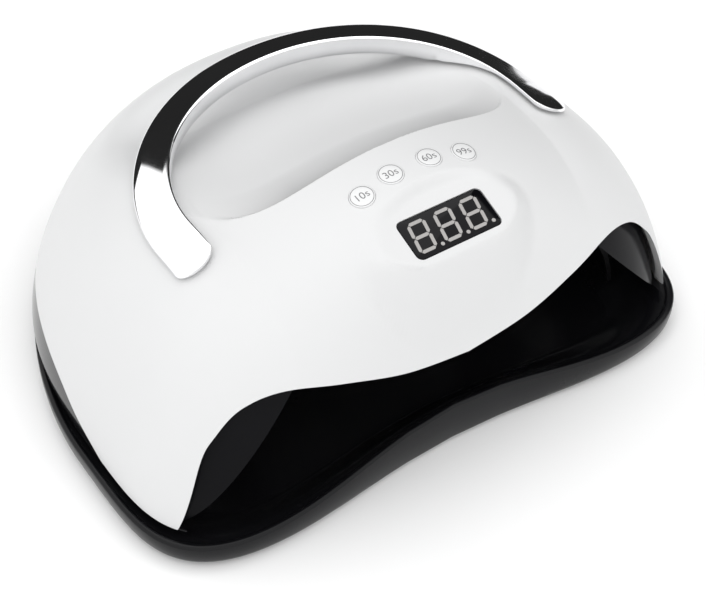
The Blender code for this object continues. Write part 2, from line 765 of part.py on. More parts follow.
def make_display(window_mat, module_mat, board_mat, shell):
    frame = panel_matrix()
    glass = rounded_rectangle(DISPLAY_WIDTH, DISPLAY_LENGTH, DISPLAY_CORNER)
    pane = prism_mesh(glass, -WINDOW_THICK, -WINDOW_SUNK)
    window = new_object("display_window", pane, window_mat, smooth=False)
    window.matrix_world = frame
    hole = rounded_rectangle(DISPLAY_WIDTH + 2 * GAP, DISPLAY_LENGTH + 2 * GAP, DISPLAY_CORNER + GAP)
    tool = cutter("display_hole", prism_mesh(hole, -HOLE_REACH, HOLE_REACH))
    tool.matrix_world = frame
    boolean(shell, tool)
    case = rounded_rectangle(MODULE_WIDTH, MODULE_LENGTH, 0.0006, steps=1)
    block = prism_mesh(case, GAP - BOARD_DROP, -WINDOW_THICK - GAP)
    module = new_object("display_module", block, module_mat, smooth=False)
    module.matrix_world = frame
    outline = rounded_rectangle(BOARD_WIDTH, BOARD_LENGTH, 0.002, steps=2)
    board_mesh = prism_mesh(outline, -BOARD_DROP - BOARD_THICK, -BOARD_DROP)
    board = new_object("control_board", board_mesh, board_mat, smooth=False)
    board.matrix_world = frame @ Matrix.Translation((0.0, BOARD_FORWARD, 0.0))


def facing(x, y):
    """The frame of a button: its origin on the roof, its +Z straight out."""
    turn = Vector((0.0, 0.0, 1.0)).rotation_difference(roof_normal(x, y)).to_matrix().to_4x4()
    return Matrix.Translation((x, y, roof_height(x, y))) @ turn


def make_buttons(mat, shell):
    profile = [
        (BUTTON_RADIUS + BUTTON_FLANGE, -BUTTON_DEPTH),
        (BUTTON_RADIUS + BUTTON_FLANGE, -BUTTON_DEPTH + BUTTON_FLANGE),
        (BUTTON_RADIUS, -BUTTON_DEPTH + BUTTON_FLANGE),
        (BUTTON_RADIUS, BUTTON_PROUD - 0.0003),
        (BUTTON_RADIUS - 0.0004, BUTTON_PROUD),
    ]
    for label, (x, y) in zip(BUTTON_NAMES, BUTTON_SPOTS):
        frame = facing(x, y)
        button = new_object(label, turned_mesh(profile), mat)
        button.matrix_world = frame
        hole = cutter(label + "_hole", prism_mesh(circle(BUTTON_RADIUS + GAP), -0.0060, 0.0040))
        hole.matrix_world = frame
        boolean(shell, hole)


def make_switches(mat):
    """A square switch body with a round plunger, under each button."""
    body = rounded_rectangle(0.0060, 0.0060, 0.0005, steps=2)
    frame = panel_matrix()
    for label, (x, y) in zip(BUTTON_NAMES, BUTTON_SPOTS):
        roof = frame.inverted() @ Vector((x, y, roof_height(x, y)))
        low = GAP - BOARD_DROP
        high = roof.z - BUTTON_DEPTH - BUTTON_TRAVEL - SWITCH_GAP
        shoulder = low + 0.55 * (high - low)
        plunger = [(0.0017 * a / math.hypot(a, b), 0.0017 * b / math.hypot(a, b)) for a, b in body]
        rings = []
        for outline, z in ((body, low), (body, shoulder), (plunger, shoulder), (plunger, high)):
            rings.append([Vector((a, b, z)) for a, b in outline])
        made = rings_mesh(rings, Vector((0, 0, low)), Vector((0, 0, high)))
        switch = new_object(label.replace("button", "switch"), made, mat, smooth=False)
        switch.matrix_world = frame @ Matrix.Translation((roof.x, roof.y, 0.0))


# ---------------------------------------------------------------- power inlet and lead


def jack_face_y():
    level = (JACK_Z - DOME_START_Z) / DOME_HEIGHT
    return shell_outline(math.pi / 2, level, 0.0)[1]


def make_power_jack(mat, housing):
    profile = [
        (JACK_RADIUS, 0.0),
        (JACK_RADIUS, JACK_LENGTH - 0.0005),
        (JACK_RADIUS - 0.0005, JACK_LENGTH),
        (JACK_BORE_RADIUS, JACK_LENGTH),
        (JACK_BORE_RADIUS, JACK_LENGTH - JACK_BORE_DEPTH),
        (JACK_PIN_RADIUS, JACK_LENGTH - JACK_BORE_DEPTH),
        (JACK_PIN_RADIUS, JACK_LENGTH - 0.0015),
    ]
    turn = Matrix.Rotation(-math.pi / 2, 4, "X")
    frame = Matrix.Translation((0.0, jack_face_y() + JACK_PROUD - JACK_LENGTH, JACK_Z)) @ turn
    jack = new_object("power_jack", turned_mesh(profile, 20), mat)
    jack.matrix_world = frame
    hole = cutter("jack_hole", prism_mesh(circle(JACK_RADIUS + GAP, 20), 0.0, JACK_LENGTH + 0.010))
    hole.matrix_world = frame
    boolean(housing, hole)


def make_power_lead(mat):
    """The inner lead from the jack round the side of the reflector to the control board."""
    start = (0.0, jack_face_y() + JACK_PROUD - JACK_LENGTH - 0.0016, JACK_Z)
    route = smooth_through_3d([start, *LEAD_ROUTE], 3)
    curve = bpy.data.curves.new("power_lead", "CURVE")
    curve.dimensions = "3D"
    curve.bevel_depth = LEAD_RADIUS
    curve.bevel_resolution = 2
    curve.use_fill_caps = True
    spline = curve.splines.new("POLY")
    spline.points.add(len(route) - 1)
    for point, place in zip(spline.points, route):
        point.co = (*place, 1.0)
    curve.materials.append(mat)
    made = bpy.data.objects.new("power_lead", curve)
    bpy.context.scene.collection.objects.link(made)


def smooth_through_3d(points, steps):
    flat = smooth_through([(p[0], p[1]) for p in points], steps)
    height = smooth_through([(p[2], 0.0) for p in points], steps)
    return [(x, y, z) for (x, y), (z, _) in zip(flat, height)]


# ---------------------------------------------------------------- handle


def plain_dome(x, y):
    return DOME_START_Z + DOME_HEIGHT * dome_level(x, y)


def strap_plan(place, across):
    """Plan point of the strap, and how far back it lies.

    place runs 0 to 1 from foot to foot, and across 0 to 1 from the outer edge to the inner edge.
    """
    if place < STRAP_LEG_SHARE:
        angle, leg = 0.0, 1.0 - place / STRAP_LEG_SHARE
    elif place > 1.0 - STRAP_LEG_SHARE:
        angle, leg = math.pi, 1.0 - (1.0 - place) / STRAP_LEG_SHARE
    else:
        angle, leg = math.pi * (place - STRAP_LEG_SHARE) / (1.0 - 2 * STRAP_LEG_SHARE), 0.0
    half_x = HANDLE_OUTER[0] + (HANDLE_INNER[0] - HANDLE_OUTER[0]) * across
    half_y = HANDLE_OUTER[1] + (HANDLE_INNER[1] - HANDLE_OUTER[1]) * across
    x = half_x * math.cos(angle)
    y = HANDLE_CENTRE_Y + half_y * math.sin(angle) - HANDLE_LEG * leg
    return x, y, math.sin(angle)


def strap_top(place, across):
    """A top face that is straight across, and tilts by a share of the dome's slope below it."""
    x, y, rear = strap_plan(place, across)
    middle = plain_dome(*strap_plan(place, 0.5)[:2])
    outer_side = plain_dome(*strap_plan(place, 0.0)[:2])
    inner_side = plain_dome(*strap_plan(place, 1.0)[:2])
    share = STRAP_TILT[0] + (STRAP_TILT[1] - STRAP_TILT[0]) * rear
    tilt = share * (inner_side - outer_side) * (across - 0.5)
    lift = HANDLE_LIFT[0] + (HANDLE_LIFT[1] - HANDLE_LIFT[0]) * rear
    crown = STRAP_CROWN * 4.0 * across * (1.0 - across)
    return Vector((x, y, middle + tilt + lift + crown))


def strap_bottom(place, across):
    top = strap_top(place, across)
    floor_z = roof_height(top.x, top.y) + STRAP_CLEARANCE
    return Vector((top.x, top.y, max(top.z - HANDLE_THICK, floor_z)))


def strap_section(place, width):
    """Points round the strap, drawn in to a share of its width about its middle line."""
    top = [strap_top(place, 0.5 + width * across) for across in (-0.5, -0.25, 0.0, 0.25, 0.5)]
    low = [strap_bottom(place, 0.5 + width * across) for across in (0.42, 0.0, -0.42)]
    return top + low


def make_handle_frame(mat):
    """The strap, with each foot rounded off past the end of its leg."""
    foot = [(-FOOT_REACH * step, math.sqrt(1.0 - step**2)) for step in FOOT_STEPS]
    span = [(i / STRAP_STEPS, 1.0) for i in range(STRAP_STEPS + 1)]
    places = [*foot, *span, *[(1.0 - place, width) for place, width in reversed(foot)]]
    sections = [strap_section(place, width) for place, width in places]
    made = rings_mesh(sections, sum(sections[0], Vector()) / 8, sum(sections[-1], Vector()) / 8)
    return new_object("handle_frame", made, mat)


def add_handle_studs(handle, shell, mat):
    """A stud under each foot passes through the shell, and a screw holds it from inside."""
    for name, side in (("left", -1.0), ("right", 1.0)):
        x, y = side * STUD_X, STUD_Y
        top = plain_dome(x, y) + STUD_RISE
        spot = Matrix.Translation((x, y, 0.0))
        low = top - STUD_LENGTH
        stud = cutter("stud_" + name, turned_mesh([(STUD_RADIUS, low), (STUD_RADIUS, top)], 16))
        stud.matrix_world = spot
        boolean(handle, stud, "UNION")
        blind = prism_mesh(circle(SCREW_HOLE_RADIUS, 12), low - 0.001, top - STUD_CAP)
        bore = cutter("stud_bore_" + name, blind)
        bore.matrix_world = spot
        boolean(handle, bore)
        through = prism_mesh(circle(STUD_RADIUS + GAP, 16), low - 0.010, top + 0.010)
        hole = cutter("stud_hole_" + name, through)
        hole.matrix_world = spot
        boolean(shell, hole)
        seat = low - GAP
        profile = [
            (HANDLE_SCREW_HEAD, seat - SCREW_HEAD_HEIGHT),
            (HANDLE_SCREW_HEAD, seat),
            (SCREW_RADIUS, seat),
            (SCREW_RADIUS, seat + HANDLE_SCREW_LENGTH),
        ]
        screw = new_object("handle_screw_" + name, turned_mesh(profile, 12), mat)
        screw.matrix_world = spot


# ---------------------------------------------------------------- assembly


def main():
    clear_scene()
    white = material("shell_white", (0.86, 0.87, 0.88), 0.25)
    black = material("gloss_black", (0.012, 0.012, 0.014), 0.12)
    tray_black = material("tray_black", (0.02, 0.02, 0.022), 0.28)
    smoke = material("reflector_black", (0.02, 0.02, 0.025), 0.15)
    chrome = material("chrome", (0.90, 0.90, 0.91), 0.06, metallic=1.0)
    smoked_lens = material("smoked_lens", (0.01, 0.01, 0.012), 0.05)
    module_grey = material("module_grey", (0.30, 0.30, 0.31), 0.4)
    board_green = material("board_green", (0.02, 0.20, 0.09), 0.45)
    board_white = material("led_board_white", (0.80, 0.80, 0.76), 0.35)
    button_white = material("button_white", (0.80, 0.81, 0.82), 0.35)
    steel = material("steel", (0.60, 0.60, 0.62), 0.3, metallic=1.0)
    magnet_nickel = material("magnet_nickel", (0.70, 0.69, 0.66), 0.25, metallic=1.0)
    rubber = material("foot_rubber", (0.03, 0.03, 0.03), 0.8)
    cable_black = material("lead_black", (0.02, 0.02, 0.02), 0.55)
    switch_grey = material("switch_grey", (0.10, 0.10, 0.11), 0.5)

    opening = opening_cutter()
    shell = make_top_shell(white)
    add_shell_bosses(shell)
    make_buttons(button_white, shell)
    make_display(smoked_lens, module_grey, board_green, shell)
    make_switches(switch_grey)
    handle = make_handle_frame(chrome)
    add_handle_studs(handle, shell, steel)
    boolean(shell, arch_cutter())
    make_front_bezel(black, opening)
    housing = make_lower_housing(black, opening)
    make_power_jack(black, housing)
    make_reflector(smoke)
    make_led_boards(board_white)
    make_sensors(smoked_lens)
    make_power_lead(cable_black)
    make_housing_screws(steel)
    make_base_tray(tray_black)
    make_discs("tray_magnet", MAGNET_SPOTS, MAGNET_RADIUS, *MAGNET_HEIGHTS, magnet_nickel)
    make_discs("catch_plate", MAGNET_SPOTS, MAGNET_RADIUS, *CATCH_HEIGHTS, steel)
    make_discs("rubber_foot", FOOT_SPOTS, FOOT_RADIUS, 0.0, TRAY_BOTTOM_Z - GAP, rubber)


main()
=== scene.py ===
"""Looks of the UV curing lamp: a finer shell, handle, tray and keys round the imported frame."""

import math

import bmesh
import bpy
import numpy as np
from mathutils import Matrix, Vector


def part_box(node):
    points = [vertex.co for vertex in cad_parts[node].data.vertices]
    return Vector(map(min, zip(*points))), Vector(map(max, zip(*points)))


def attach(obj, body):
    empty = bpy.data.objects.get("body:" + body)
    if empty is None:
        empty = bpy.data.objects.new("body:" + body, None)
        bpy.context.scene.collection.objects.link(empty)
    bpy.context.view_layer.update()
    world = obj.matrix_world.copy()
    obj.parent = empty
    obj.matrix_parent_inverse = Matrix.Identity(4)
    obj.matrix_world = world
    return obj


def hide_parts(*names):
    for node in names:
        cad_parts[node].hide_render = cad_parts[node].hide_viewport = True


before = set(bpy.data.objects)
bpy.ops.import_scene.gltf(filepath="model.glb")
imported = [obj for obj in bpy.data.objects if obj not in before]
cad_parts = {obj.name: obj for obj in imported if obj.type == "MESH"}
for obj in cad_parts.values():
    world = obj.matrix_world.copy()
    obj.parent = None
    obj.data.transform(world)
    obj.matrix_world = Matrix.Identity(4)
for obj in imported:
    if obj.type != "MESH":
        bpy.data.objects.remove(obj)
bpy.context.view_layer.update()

# ---------------------------------------------------------------- sizes, in metres

# Shell dome.
SHELL_HALF_WIDTH = 0.1162
SHELL_CENTRE_Y = -0.0352
SHELL_FRONT = 0.0719
SHELL_REAR = 0.1288
SHELL_SQUARE_FRONT = 4.36
SHELL_SQUARE_REAR = 2.32
SHELL_SQUARE_TOP = 2.15
DOME_START_Z = 0.0130
DOME_HEIGHT = 0.0842
DOME_SIDE_POWER = 4.93
DOME_FRONT_POWER = 4.43
DOME_RISE_POWER = 0.71
CROWN_SHIFT_Y = -0.0076
SHELL_WALL = 0.0022
DOME_SHOULDER = 0.62
SHELL_EDGE = 0.0006

# Control hood, pad and hollow.
HOOD_HEIGHT = 0.0133
HOOD_HALF_WIDTH = 0.0620
HOOD_CROWN_POWER = 1.2
LIP_Y = -0.0516
LIP_SWEEP = 0.0155
TROUGH_DEPTH = 0.0075
TROUGH_WIDTH = 0.0150
LIP_SOFT = 0.0009
RELIEF_LEVELS = (0.50, 0.95)
PAD_LEVELS = (0.52, 0.72)
HOLLOW_DEPTH = 0.0160
HOLLOW_LOW_Y = 0.0250
HOLLOW_END_Y = 0.0600
HOLLOW_HALF_WIDTH = 0.0760
HOLLOW_ONSET = 1.6
PANEL_TILT = math.radians(17.6)
DISPLAY_Y = -0.0885
DISPLAY_Z = 0.1016
DISPLAY_WIDTH = 0.0339
DISPLAY_LENGTH = 0.0155
DISPLAY_CORNER = 0.0022
PAD_HALF_WIDTH = 0.0260
PAD_HALF_LENGTH = 0.0125
PAD_EDGE = 1.35

# Arched front edge of the shell, as heights at distances from the middle.
ARCH_EDGE = (
    (0.0000, 0.0538),
    (0.0240, 0.0567),
    (0.0480, 0.0626),
    (0.0680, 0.0654),
    (0.0820, 0.0615),
    (0.0920, 0.0523),
    (0.0990, 0.0409),
    (0.1089, 0.0130),
)
ARCH_BACK_Y = -0.0520

# Lower edge of the shell at its sides and back, as heights at distances along Y.
SIDE_EDGE = (
    (-0.0490, 0.0128),
    (-0.0290, 0.0186),
    (-0.0130, 0.0243),
    (0.0050, 0.0272),
    (0.0300, 0.0280),
    (0.1100, 0.0280),
)

# Hand opening and the bezel round it.
OPENING_TOP_Z = 0.0620
OPENING_TOP_HALF = 0.0644
OPENING_LOW_Z = 0.0100
OPENING_LOW_HALF = 0.1081
OPENING_BACK_Y = -0.0640
BEZEL_INSET = 0.0037
BEZEL_THICK = 0.0026
BEZEL_TOP_LEVEL = 0.80
BEZEL_TOP_Z = 0.0665
BEZEL_BACK_Y = -0.0700
BEZEL_REACH = 0.150

# How far the cutting tools run past what they cut.
CUT_REACH = 0.140
CUT_FLOOR_Z = -0.010
ARCH_FOOT = 0.002

# Skirt.
SKIRT_INSET = 0.0010
SKIRT_BOTTOM_Z = 0.0115
SKIRT_TOP_Z = 0.0127
SKIRT_FLANGE_INSET = 0.0210
WALL_THICK = 0.0024
WALL_TOP_LEVEL = 0.25
SKIRT_EDGE = 0.0004

# Tray.
TRAY_HALF_WIDTH = 0.1200
TRAY_FRONT = 0.0751
TRAY_REAR = 0.1398
TRAY_SQUARE_FRONT = 4.62
TRAY_SQUARE_REAR = 1.92
WAIST_DEPTH = 0.0116
WAIST_WIDTH = 0.0712
TRAY_BOTTOM_Z = 0.0015
TRAY_RIM_Z = 0.0105
TRAY_CROWN = 0.0100
TRAY_CROWN_WIDTH = 0.0550
TRAY_FLOOR_Z = 0.0050
TRAY_SIDES = 360
RIM_ROUND = 0.0012
RIM_HALF_WIDTH = 0.0014
RIM_STEPS = 8
BASIN_WIDTH = 0.0152
BASIN_STEPS = 12
FLOOR_SHARES = (0.8, 0.55, 0.3, 0.1)
POST_RADIUS = 0.0052
POST_TOP_RADIUS = 0.0050
POST_BEVEL = 0.0005

# Tray's outer wall up from its lower edge: inset, height above the bottom, and share of the front crown.
TRAY_WALL = (
    (0.0030, 0.0000, 0.0),
    (0.0018, 0.0002, 0.0),
    (0.0008, 0.0009, 0.0),
    (0.0003, 0.0022, 0.1),
    (0.0000, 0.0050, 0.5),
)

# Keys.
BUTTON_RADIUS = 0.0043
BUTTON_DEPTH = 0.0042
BUTTON_FLANGE = 0.0010
BUTTON_PROUD = 0.0003
KEY_COLLAR = 0.00020
KEY_COLLAR_DEPTH = 0.0015
KEY_SIDES = 96
RING_OUTER_INSET = 0.00020
RING_INNER_INSET = 0.00040
RING_SINK = 0.0001
MARK_RISE = 0.00003
MARK_SIZE = 0.0041
MARK_THICK = 0.00002
GAP = 0.0003
KEYS = (
    ("button_10s", "10s", -0.0208, -0.0676),
    ("button_30s", "30s", -0.0078, -0.0653),
    ("button_60s", "60s", 0.0078, -0.0653),
    ("button_99s", "99s", 0.0208, -0.0676),
)

# Digits in the window.
WINDOW_BOTTOM = -0.0014
WINDOW_TOP = -0.0001
WINDOW_EDGE = 0.0003
DIGIT_WIDTH = 0.0072
DIGIT_HEIGHT = 0.0120
DIGIT_PITCH = 0.0104
DIGIT_SHIFT = -0.0006
DIGIT_LEAN = math.radians(8)
BAR_WIDTH = 0.00125
BAR_GAP = 0.00018
BAR_HEIGHTS = (-0.0004, 0.00002)
DOT_PLACE = (0.0047, -0.0055)
DOT_RADIUS = 0.0007

# Handle.
HANDLE_CENTRE_Y = -0.0355
HANDLE_OUTER = (0.0817, 0.0716)
HANDLE_INNER = (0.0679, 0.0601)
HANDLE_LEG = 0.0120
HANDLE_THICK = 0.0080
HANDLE_LIFT = (0.0026, 0.0036)
STRAP_LEG_SHARE = 0.10
STRAP_CROWN = 0.0001
STRAP_TILT = (1.00, 0.60)
STRAP_CLEARANCE = 0.0015
FOOT_REACH = 0.045
FOOT_TURNS = 16
STRAP_STATIONS = 221
STRAP_BEVEL = 0.055
BEVEL_SAG = 0.0003
SIDE_DROP = 0.0007
SIDE_SHARE = 0.8
LEAST_THICK = 0.0009
LEAST_SIDE = 0.0008

# Light: the surround's strength, and a dark card in it as a direction and the edge of its cone.
SURROUND = 1.38
DARK_LIGHT = 0.02
DARK_CARD = (0.58, 0.61, -0.54)
CARD_EDGE = (0.155, 0.170)
KEY_LIGHT_PLACE = (0.15, 0.45, 1.50)
KEY_LIGHT_TARGET = (0.0, -0.02, 0.05)
KEY_LIGHT_SIZE = (1.2, 1.2)
KEY_LIGHT_POWER = 3.6

# Painted shade low in the groove behind the lip, standing in for its shadow: its colour, where it starts,
# how far back and out it fades.
GROOVE_SHADE_COLOUR = (0.34, 0.34, 0.343, 1.0)
GROOVE_SHADE_START = (-0.0003, 0.0007)
GROOVE_SHADE_REACH = 0.0170
GROOVE_SHADE_ENDS = (0.55, 1.0)

# Camera: the turn, height and roll that it looks with, its lens and its place.
CAMERA_TURN = math.radians(34.27)
CAMERA_HEIGHT = math.radians(45.15)
CAMERA_ROLL = math.radians(0.72)
CAMERA_LENS = 90.34
CAMERA_PLACE = (-0.26816, -0.42610, 0.49866)

# Floor.
FLOOR_HALF = 3.0
FLOOR_Z = -0.0001

# Rear power inlet.
JACK_Z = 0.0203
JACK_RADIUS = 0.0048
JACK_HOLE_LENGTH = 0.030

SHELL_SIDES = 384
TOP_RINGS = 150
SIDE_RINGS = 48


# ---------------------------------------------------------------- mesh helpers


def smoothstep(low, high, value):
    ratio = np.clip((value - low) / (high - low), 0.0, 1.0)
    return ratio * ratio * (3.0 - 2.0 * ratio)


def signed_power(value, power):
    return np.sign(value) * np.abs(value) ** power


def add_mesh(name, points, faces, mat=None, smooth=True, sharp=32):
    mesh = bpy.data.meshes.new(name)
    mesh.from_pydata([tuple(map(float, p)) for p in points], [], [tuple(map(int, f)) for f in faces])
    checked = bmesh.new()
    checked.from_mesh(mesh)
    bmesh.ops.recalc_face_normals(checked, faces=checked.faces)
    checked.to_mesh(mesh)
    checked.free()
    if mat:
        mesh.materials.append(mat)
    if smooth:
        mesh.shade_smooth()
        mesh.set_sharp_from_angle(angle=math.radians(sharp))
    made = bpy.data.objects.new(name, mesh)
    bpy.context.scene.collection.objects.link(made)
    return made


def ring_faces(rings, columns, closed_on_itself=False):
    faces = []
    for row in range(rings if closed_on_itself else rings - 1):
        after = (row + 1) % rings
        for i in range(columns):
            j = (i + 1) % columns
            faces.append((row * columns + i, row * columns + j, after * columns + j, after * columns + i))
    return faces


def ring_solid(name, rings, mat, first_pole=None, last_pole=None, sharp=32):
    """A closed skin over rings of equal length, capped by poles or closed on itself."""
    rings = [np.asarray(ring, float) for ring in rings]
    columns = len(rings[0])
    faces = ring_faces(len(rings), columns, first_pole is None)
    points = list(np.concatenate(rings))
    for row, pole in ((0, first_pole), (len(rings) - 1, last_pole)):
        if pole is None:
            continue
        tip = len(points)
        points.append(np.asarray(pole, float))
        faces += [(row * columns + i, row * columns + (i + 1) % columns, tip) for i in range(columns)]
    return add_mesh(name, points, faces, mat, sharp=sharp)


def prism(name, outline, low, high, axis="Z", mat=None, smooth=False):
    points = []
    for level in (low, high):
        if axis == "Z":
            points += [(a, b, level) for a, b in outline]
        elif axis == "Y":
            points += [(a, level, b) for a, b in outline]
        else:
            points += [(level, a, b) for a, b in outline]
    count = len(outline)
    faces = [(i, (i + 1) % count, count + (i + 1) % count, count + i) for i in range(count)]
    faces += [tuple(range(count)), tuple(range(count, 2 * count))]
    return add_mesh(name, points, faces, mat, smooth=smooth)


def circle(radius, sides=48):
    turns = [2 * math.pi * i / sides for i in range(sides)]
    return [(radius * math.cos(turn), radius * math.sin(turn)) for turn in turns]


def turned(name, profile, sides=64, mat=None, sharp=32):
    rings = [[(a, b, height) for a, b in circle(radius, sides)] for radius, height in profile]
    return ring_solid(name, rings, mat, (0, 0, profile[0][1]), (0, 0, profile[-1][1]), sharp)


def rounded_rectangle(width, length, corner, steps=10):
    points = []
    for quarter in range(4):
        middle = math.radians(45 + 90 * quarter)
        centre_x = math.copysign(width / 2 - corner, math.cos(middle))
        centre_y = math.copysign(length / 2 - corner, math.sin(middle))
        for step in range(steps + 1):
            angle = math.radians(90 * quarter + 90 * step / steps)
            points.append((centre_x + corner * math.cos(angle), centre_y + corner * math.sin(angle)))
    return points


def cut(target, tool, operation="DIFFERENCE"):
    """Applies the Boolean at once and removes its tool."""
    modifier = target.modifiers.new("cut", "BOOLEAN")
    modifier.operation = operation
    modifier.solver = "MANIFOLD"
    modifier.object = tool
    with bpy.context.temp_override(object=target, active_object=target):
        bpy.ops.object.modifier_apply(modifier=modifier.name)
    bpy.data.objects.remove(tool, do_unlink=True)


def smooth_again(obj, sharp=32):
    obj.data.shade_smooth()
    obj.data.set_sharp_from_angle(angle=math.radians(sharp))


def smooth_through(points, steps):
    """Points along a Catmull-Rom curve through the given ones."""
    ends = np.array([points[0], *points, points[-1]], float)
    curve = []
    for a, b, c, d in zip(ends, ends[1:], ends[2:], ends[3:]):
        for i in range(steps):
            t = i / steps
            point = a * (-0.5 * t + t**2 - 0.5 * t**3) + b * (1.0 - 2.5 * t**2 + 1.5 * t**3)
            point += c * (0.5 * t + 2.0 * t**2 - 1.5 * t**3) + d * (-0.5 * t**2 + 0.5 * t**3)
            curve.append(tuple(point))
    curve.append(tuple(ends[-1]))
    return curve


# ---------------------------------------------------------------- shell surface


def shell_outline(angle, level, inset):
    across, along = np.cos(angle), np.sin(angle)
    front = np.maximum(0.0, -along)
    power = DOME_SIDE_POWER + (DOME_FRONT_POWER - DOME_SIDE_POWER) * front**2
    shrink = (1.0 - level ** (1.0 / DOME_RISE_POWER)) ** (1.0 / power)
    square = np.where(along < 0, SHELL_SQUARE_FRONT, SHELL_SQUARE_REAR)
    square = square + (SHELL_SQUARE_TOP - square) * level
    depth = np.where(along < 0, SHELL_FRONT, SHELL_REAR)
    x = shrink * (SHELL_HALF_WIDTH - inset) * signed_power(across, 2.0 / square)
    y = SHELL_CENTRE_Y + CROWN_SHIFT_Y * level
    y = y + shrink * (depth - inset) * signed_power(along, 2.0 / square)
    return x, y


def deck_share(x, y):
    """How far a point lies from the lip, at 0 or less, to the lowest line of the hollow, at 1."""
    lip = LIP_Y + LIP_SWEEP * (np.abs(x) / HOOD_HALF_WIDTH) ** 6
    return (y - lip) / (HOLLOW_LOW_Y - lip), y - lip


def hood_relief(x, y):
    share, behind = deck_share(x, y)
    crown = np.maximum(0.0, 1.0 - (x / HOOD_HALF_WIDTH) ** 2) ** HOOD_CROWN_POWER
    height = HOOD_HEIGHT * (1.0 - np.clip(share, 0.0, 1.0))
    trough = np.clip(1.0 - behind / TROUGH_WIDTH, 0.0, 1.0) ** 2 * smoothstep(0.0, LIP_SOFT, behind)
    return (height - TROUGH_DEPTH * trough) * crown


def hollow_relief(x, y):
    share = np.clip(deck_share(x, y)[0], 0.0, 1.0)
    fall = 1.0 - (1.0 - share) ** HOLLOW_ONSET
    across = smoothstep(1.0, 0.15, (x / HOLLOW_HALF_WIDTH) ** 2)
    return HOLLOW_DEPTH * fall * across * smoothstep(HOLLOW_END_Y, HOLLOW_LOW_Y, y)


def panel_height(y):
    return DISPLAY_Z + math.tan(PANEL_TILT) * (y - DISPLAY_Y)


def shell_surface_z(x, y, level, inset):
    z = DOME_START_Z + (DOME_HEIGHT - inset) * level
    z = z + (hood_relief(x, y) - hollow_relief(x, y)) * smoothstep(*RELIEF_LEVELS, level)
    reach = np.hypot(x / PAD_HALF_WIDTH, (y - DISPLAY_Y) / PAD_HALF_LENGTH)
    pad = smoothstep(PAD_EDGE, 1.0, reach) * smoothstep(*PAD_LEVELS, level)
    return z + (panel_height(y) - inset - z) * pad


def shell_ring(angles, level, inset):
    x, y = shell_outline(angles, level, inset)
    return np.stack([x, y, shell_surface_z(x, y, level, inset)], axis=-1)


def dome_level(x, y):
    """The plain dome's level above plan points, found by stepping."""
    level = np.full(np.shape(x), 0.6)
    for _ in range(60):
        forward = y - SHELL_CENTRE_Y - CROWN_SHIFT_Y * level
        square = np.where(forward < 0, SHELL_SQUARE_FRONT, SHELL_SQUARE_REAR)
        square = square + (SHELL_SQUARE_TOP - square) * level
        depth = np.where(forward < 0, SHELL_FRONT, SHELL_REAR)
        reach = (np.abs(x) / SHELL_HALF_WIDTH) ** square + (np.abs(forward) / depth) ** square
        shrink = np.minimum(reach ** (1.0 / square), 1.0)
        front = np.maximum(0.0, -signed_power(forward / depth / np.maximum(shrink, 1e-6), square / 2.0))
        power = DOME_SIDE_POWER + (DOME_FRONT_POWER - DOME_SIDE_POWER) * front**2
        level = level + 0.3 * ((1.0 - shrink**power) ** DOME_RISE_POWER - level)
    return level


def roof_height(x, y):
    return shell_surface_z(x, y, dome_level(x, y), 0.0)


def roof_normal(x, y):
    step = 0.0015
    slope_x = (roof_height(x + step, y) - roof_height(x - step, y)) / (2 * step)
    slope_y = (roof_height(x, y + step) - roof_height(x, y - step)) / (2 * step)
    return Vector((-float(slope_x), -float(slope_y), 1.0)).normalized()


def dome_levels(side_rings, top_rings):
    levels = [DOME_SHOULDER * i / side_rings for i in range(side_rings)]
    edge = (1.0 - DOME_SHOULDER ** (1.0 / DOME_RISE_POWER)) ** (1.0 / DOME_SIDE_POWER)
    for i in range(top_rings):
        shrink = edge * (1.0 - i / top_rings)
        levels.append((1.0 - shrink**DOME_SIDE_POWER) ** DOME_RISE_POWER)
    return levels


def crown_point(inset):
    y = SHELL_CENTRE_Y + CROWN_SHIFT_Y
    return 0.0, y, float(shell_surface_z(np.float64(0.0), y, 1.0, inset))


def arch_tool():
    half = smooth_through(ARCH_EDGE, 14)
    right = [*half, (ARCH_EDGE[-1][0] + ARCH_FOOT, CUT_FLOOR_Z)]
    left = [(-x, z) for x, z in right[:0:-1]]
    return prism("arch_tool", left + right, -CUT_REACH, ARCH_BACK_Y, axis="Y")


def side_edge_tool(drop):
    """Everything below the shell's side and back edge, lowered by the drop."""
    curve = [(y, z - drop) for y, z in smooth_through(SIDE_EDGE, 14)]
    outline = [(SIDE_EDGE[0][0], CUT_FLOOR_Z), *curve, (SIDE_EDGE[-1][0], CUT_FLOOR_Z)]
    return prism("side_edge_tool", outline, -CUT_REACH, CUT_REACH, axis="X")


def opening_tool():
    slope = (OPENING_LOW_HALF - OPENING_TOP_HALF) / (OPENING_TOP_Z - OPENING_LOW_Z)
    low_half = OPENING_LOW_HALF + slope * (OPENING_LOW_Z - CUT_FLOOR_Z)
    outline = [
        (-low_half, CUT_FLOOR_Z),
        (low_half, CUT_FLOOR_Z),
        (OPENING_TOP_HALF, OPENING_TOP_Z),
        (-OPENING_TOP_HALF, OPENING_TOP_Z),
    ]
    return prism("opening_tool", outline, -CUT_REACH, OPENING_BACK_Y, axis="Y")


# ---------------------------------------------------------------- materials


def principled(name):
    mat = bpy.data.materials.new(name)
    mat.use_nodes = True
    tree = mat.node_tree
    return mat, tree, tree.nodes["Principled BSDF"]


def noise(tree, scale, detail=4.0, roughness=0.5):
    place = tree.nodes.new("ShaderNodeTexCoord")
    node = tree.nodes.new("ShaderNodeTexNoise")
    node.inputs["Scale"].default_value = scale
    node.inputs["Detail"].default_value = detail
    node.inputs["Roughness"].default_value = roughness
    tree.links.new(place.outputs["Object"], node.inputs["Vector"])
    return node.outputs["Fac"]


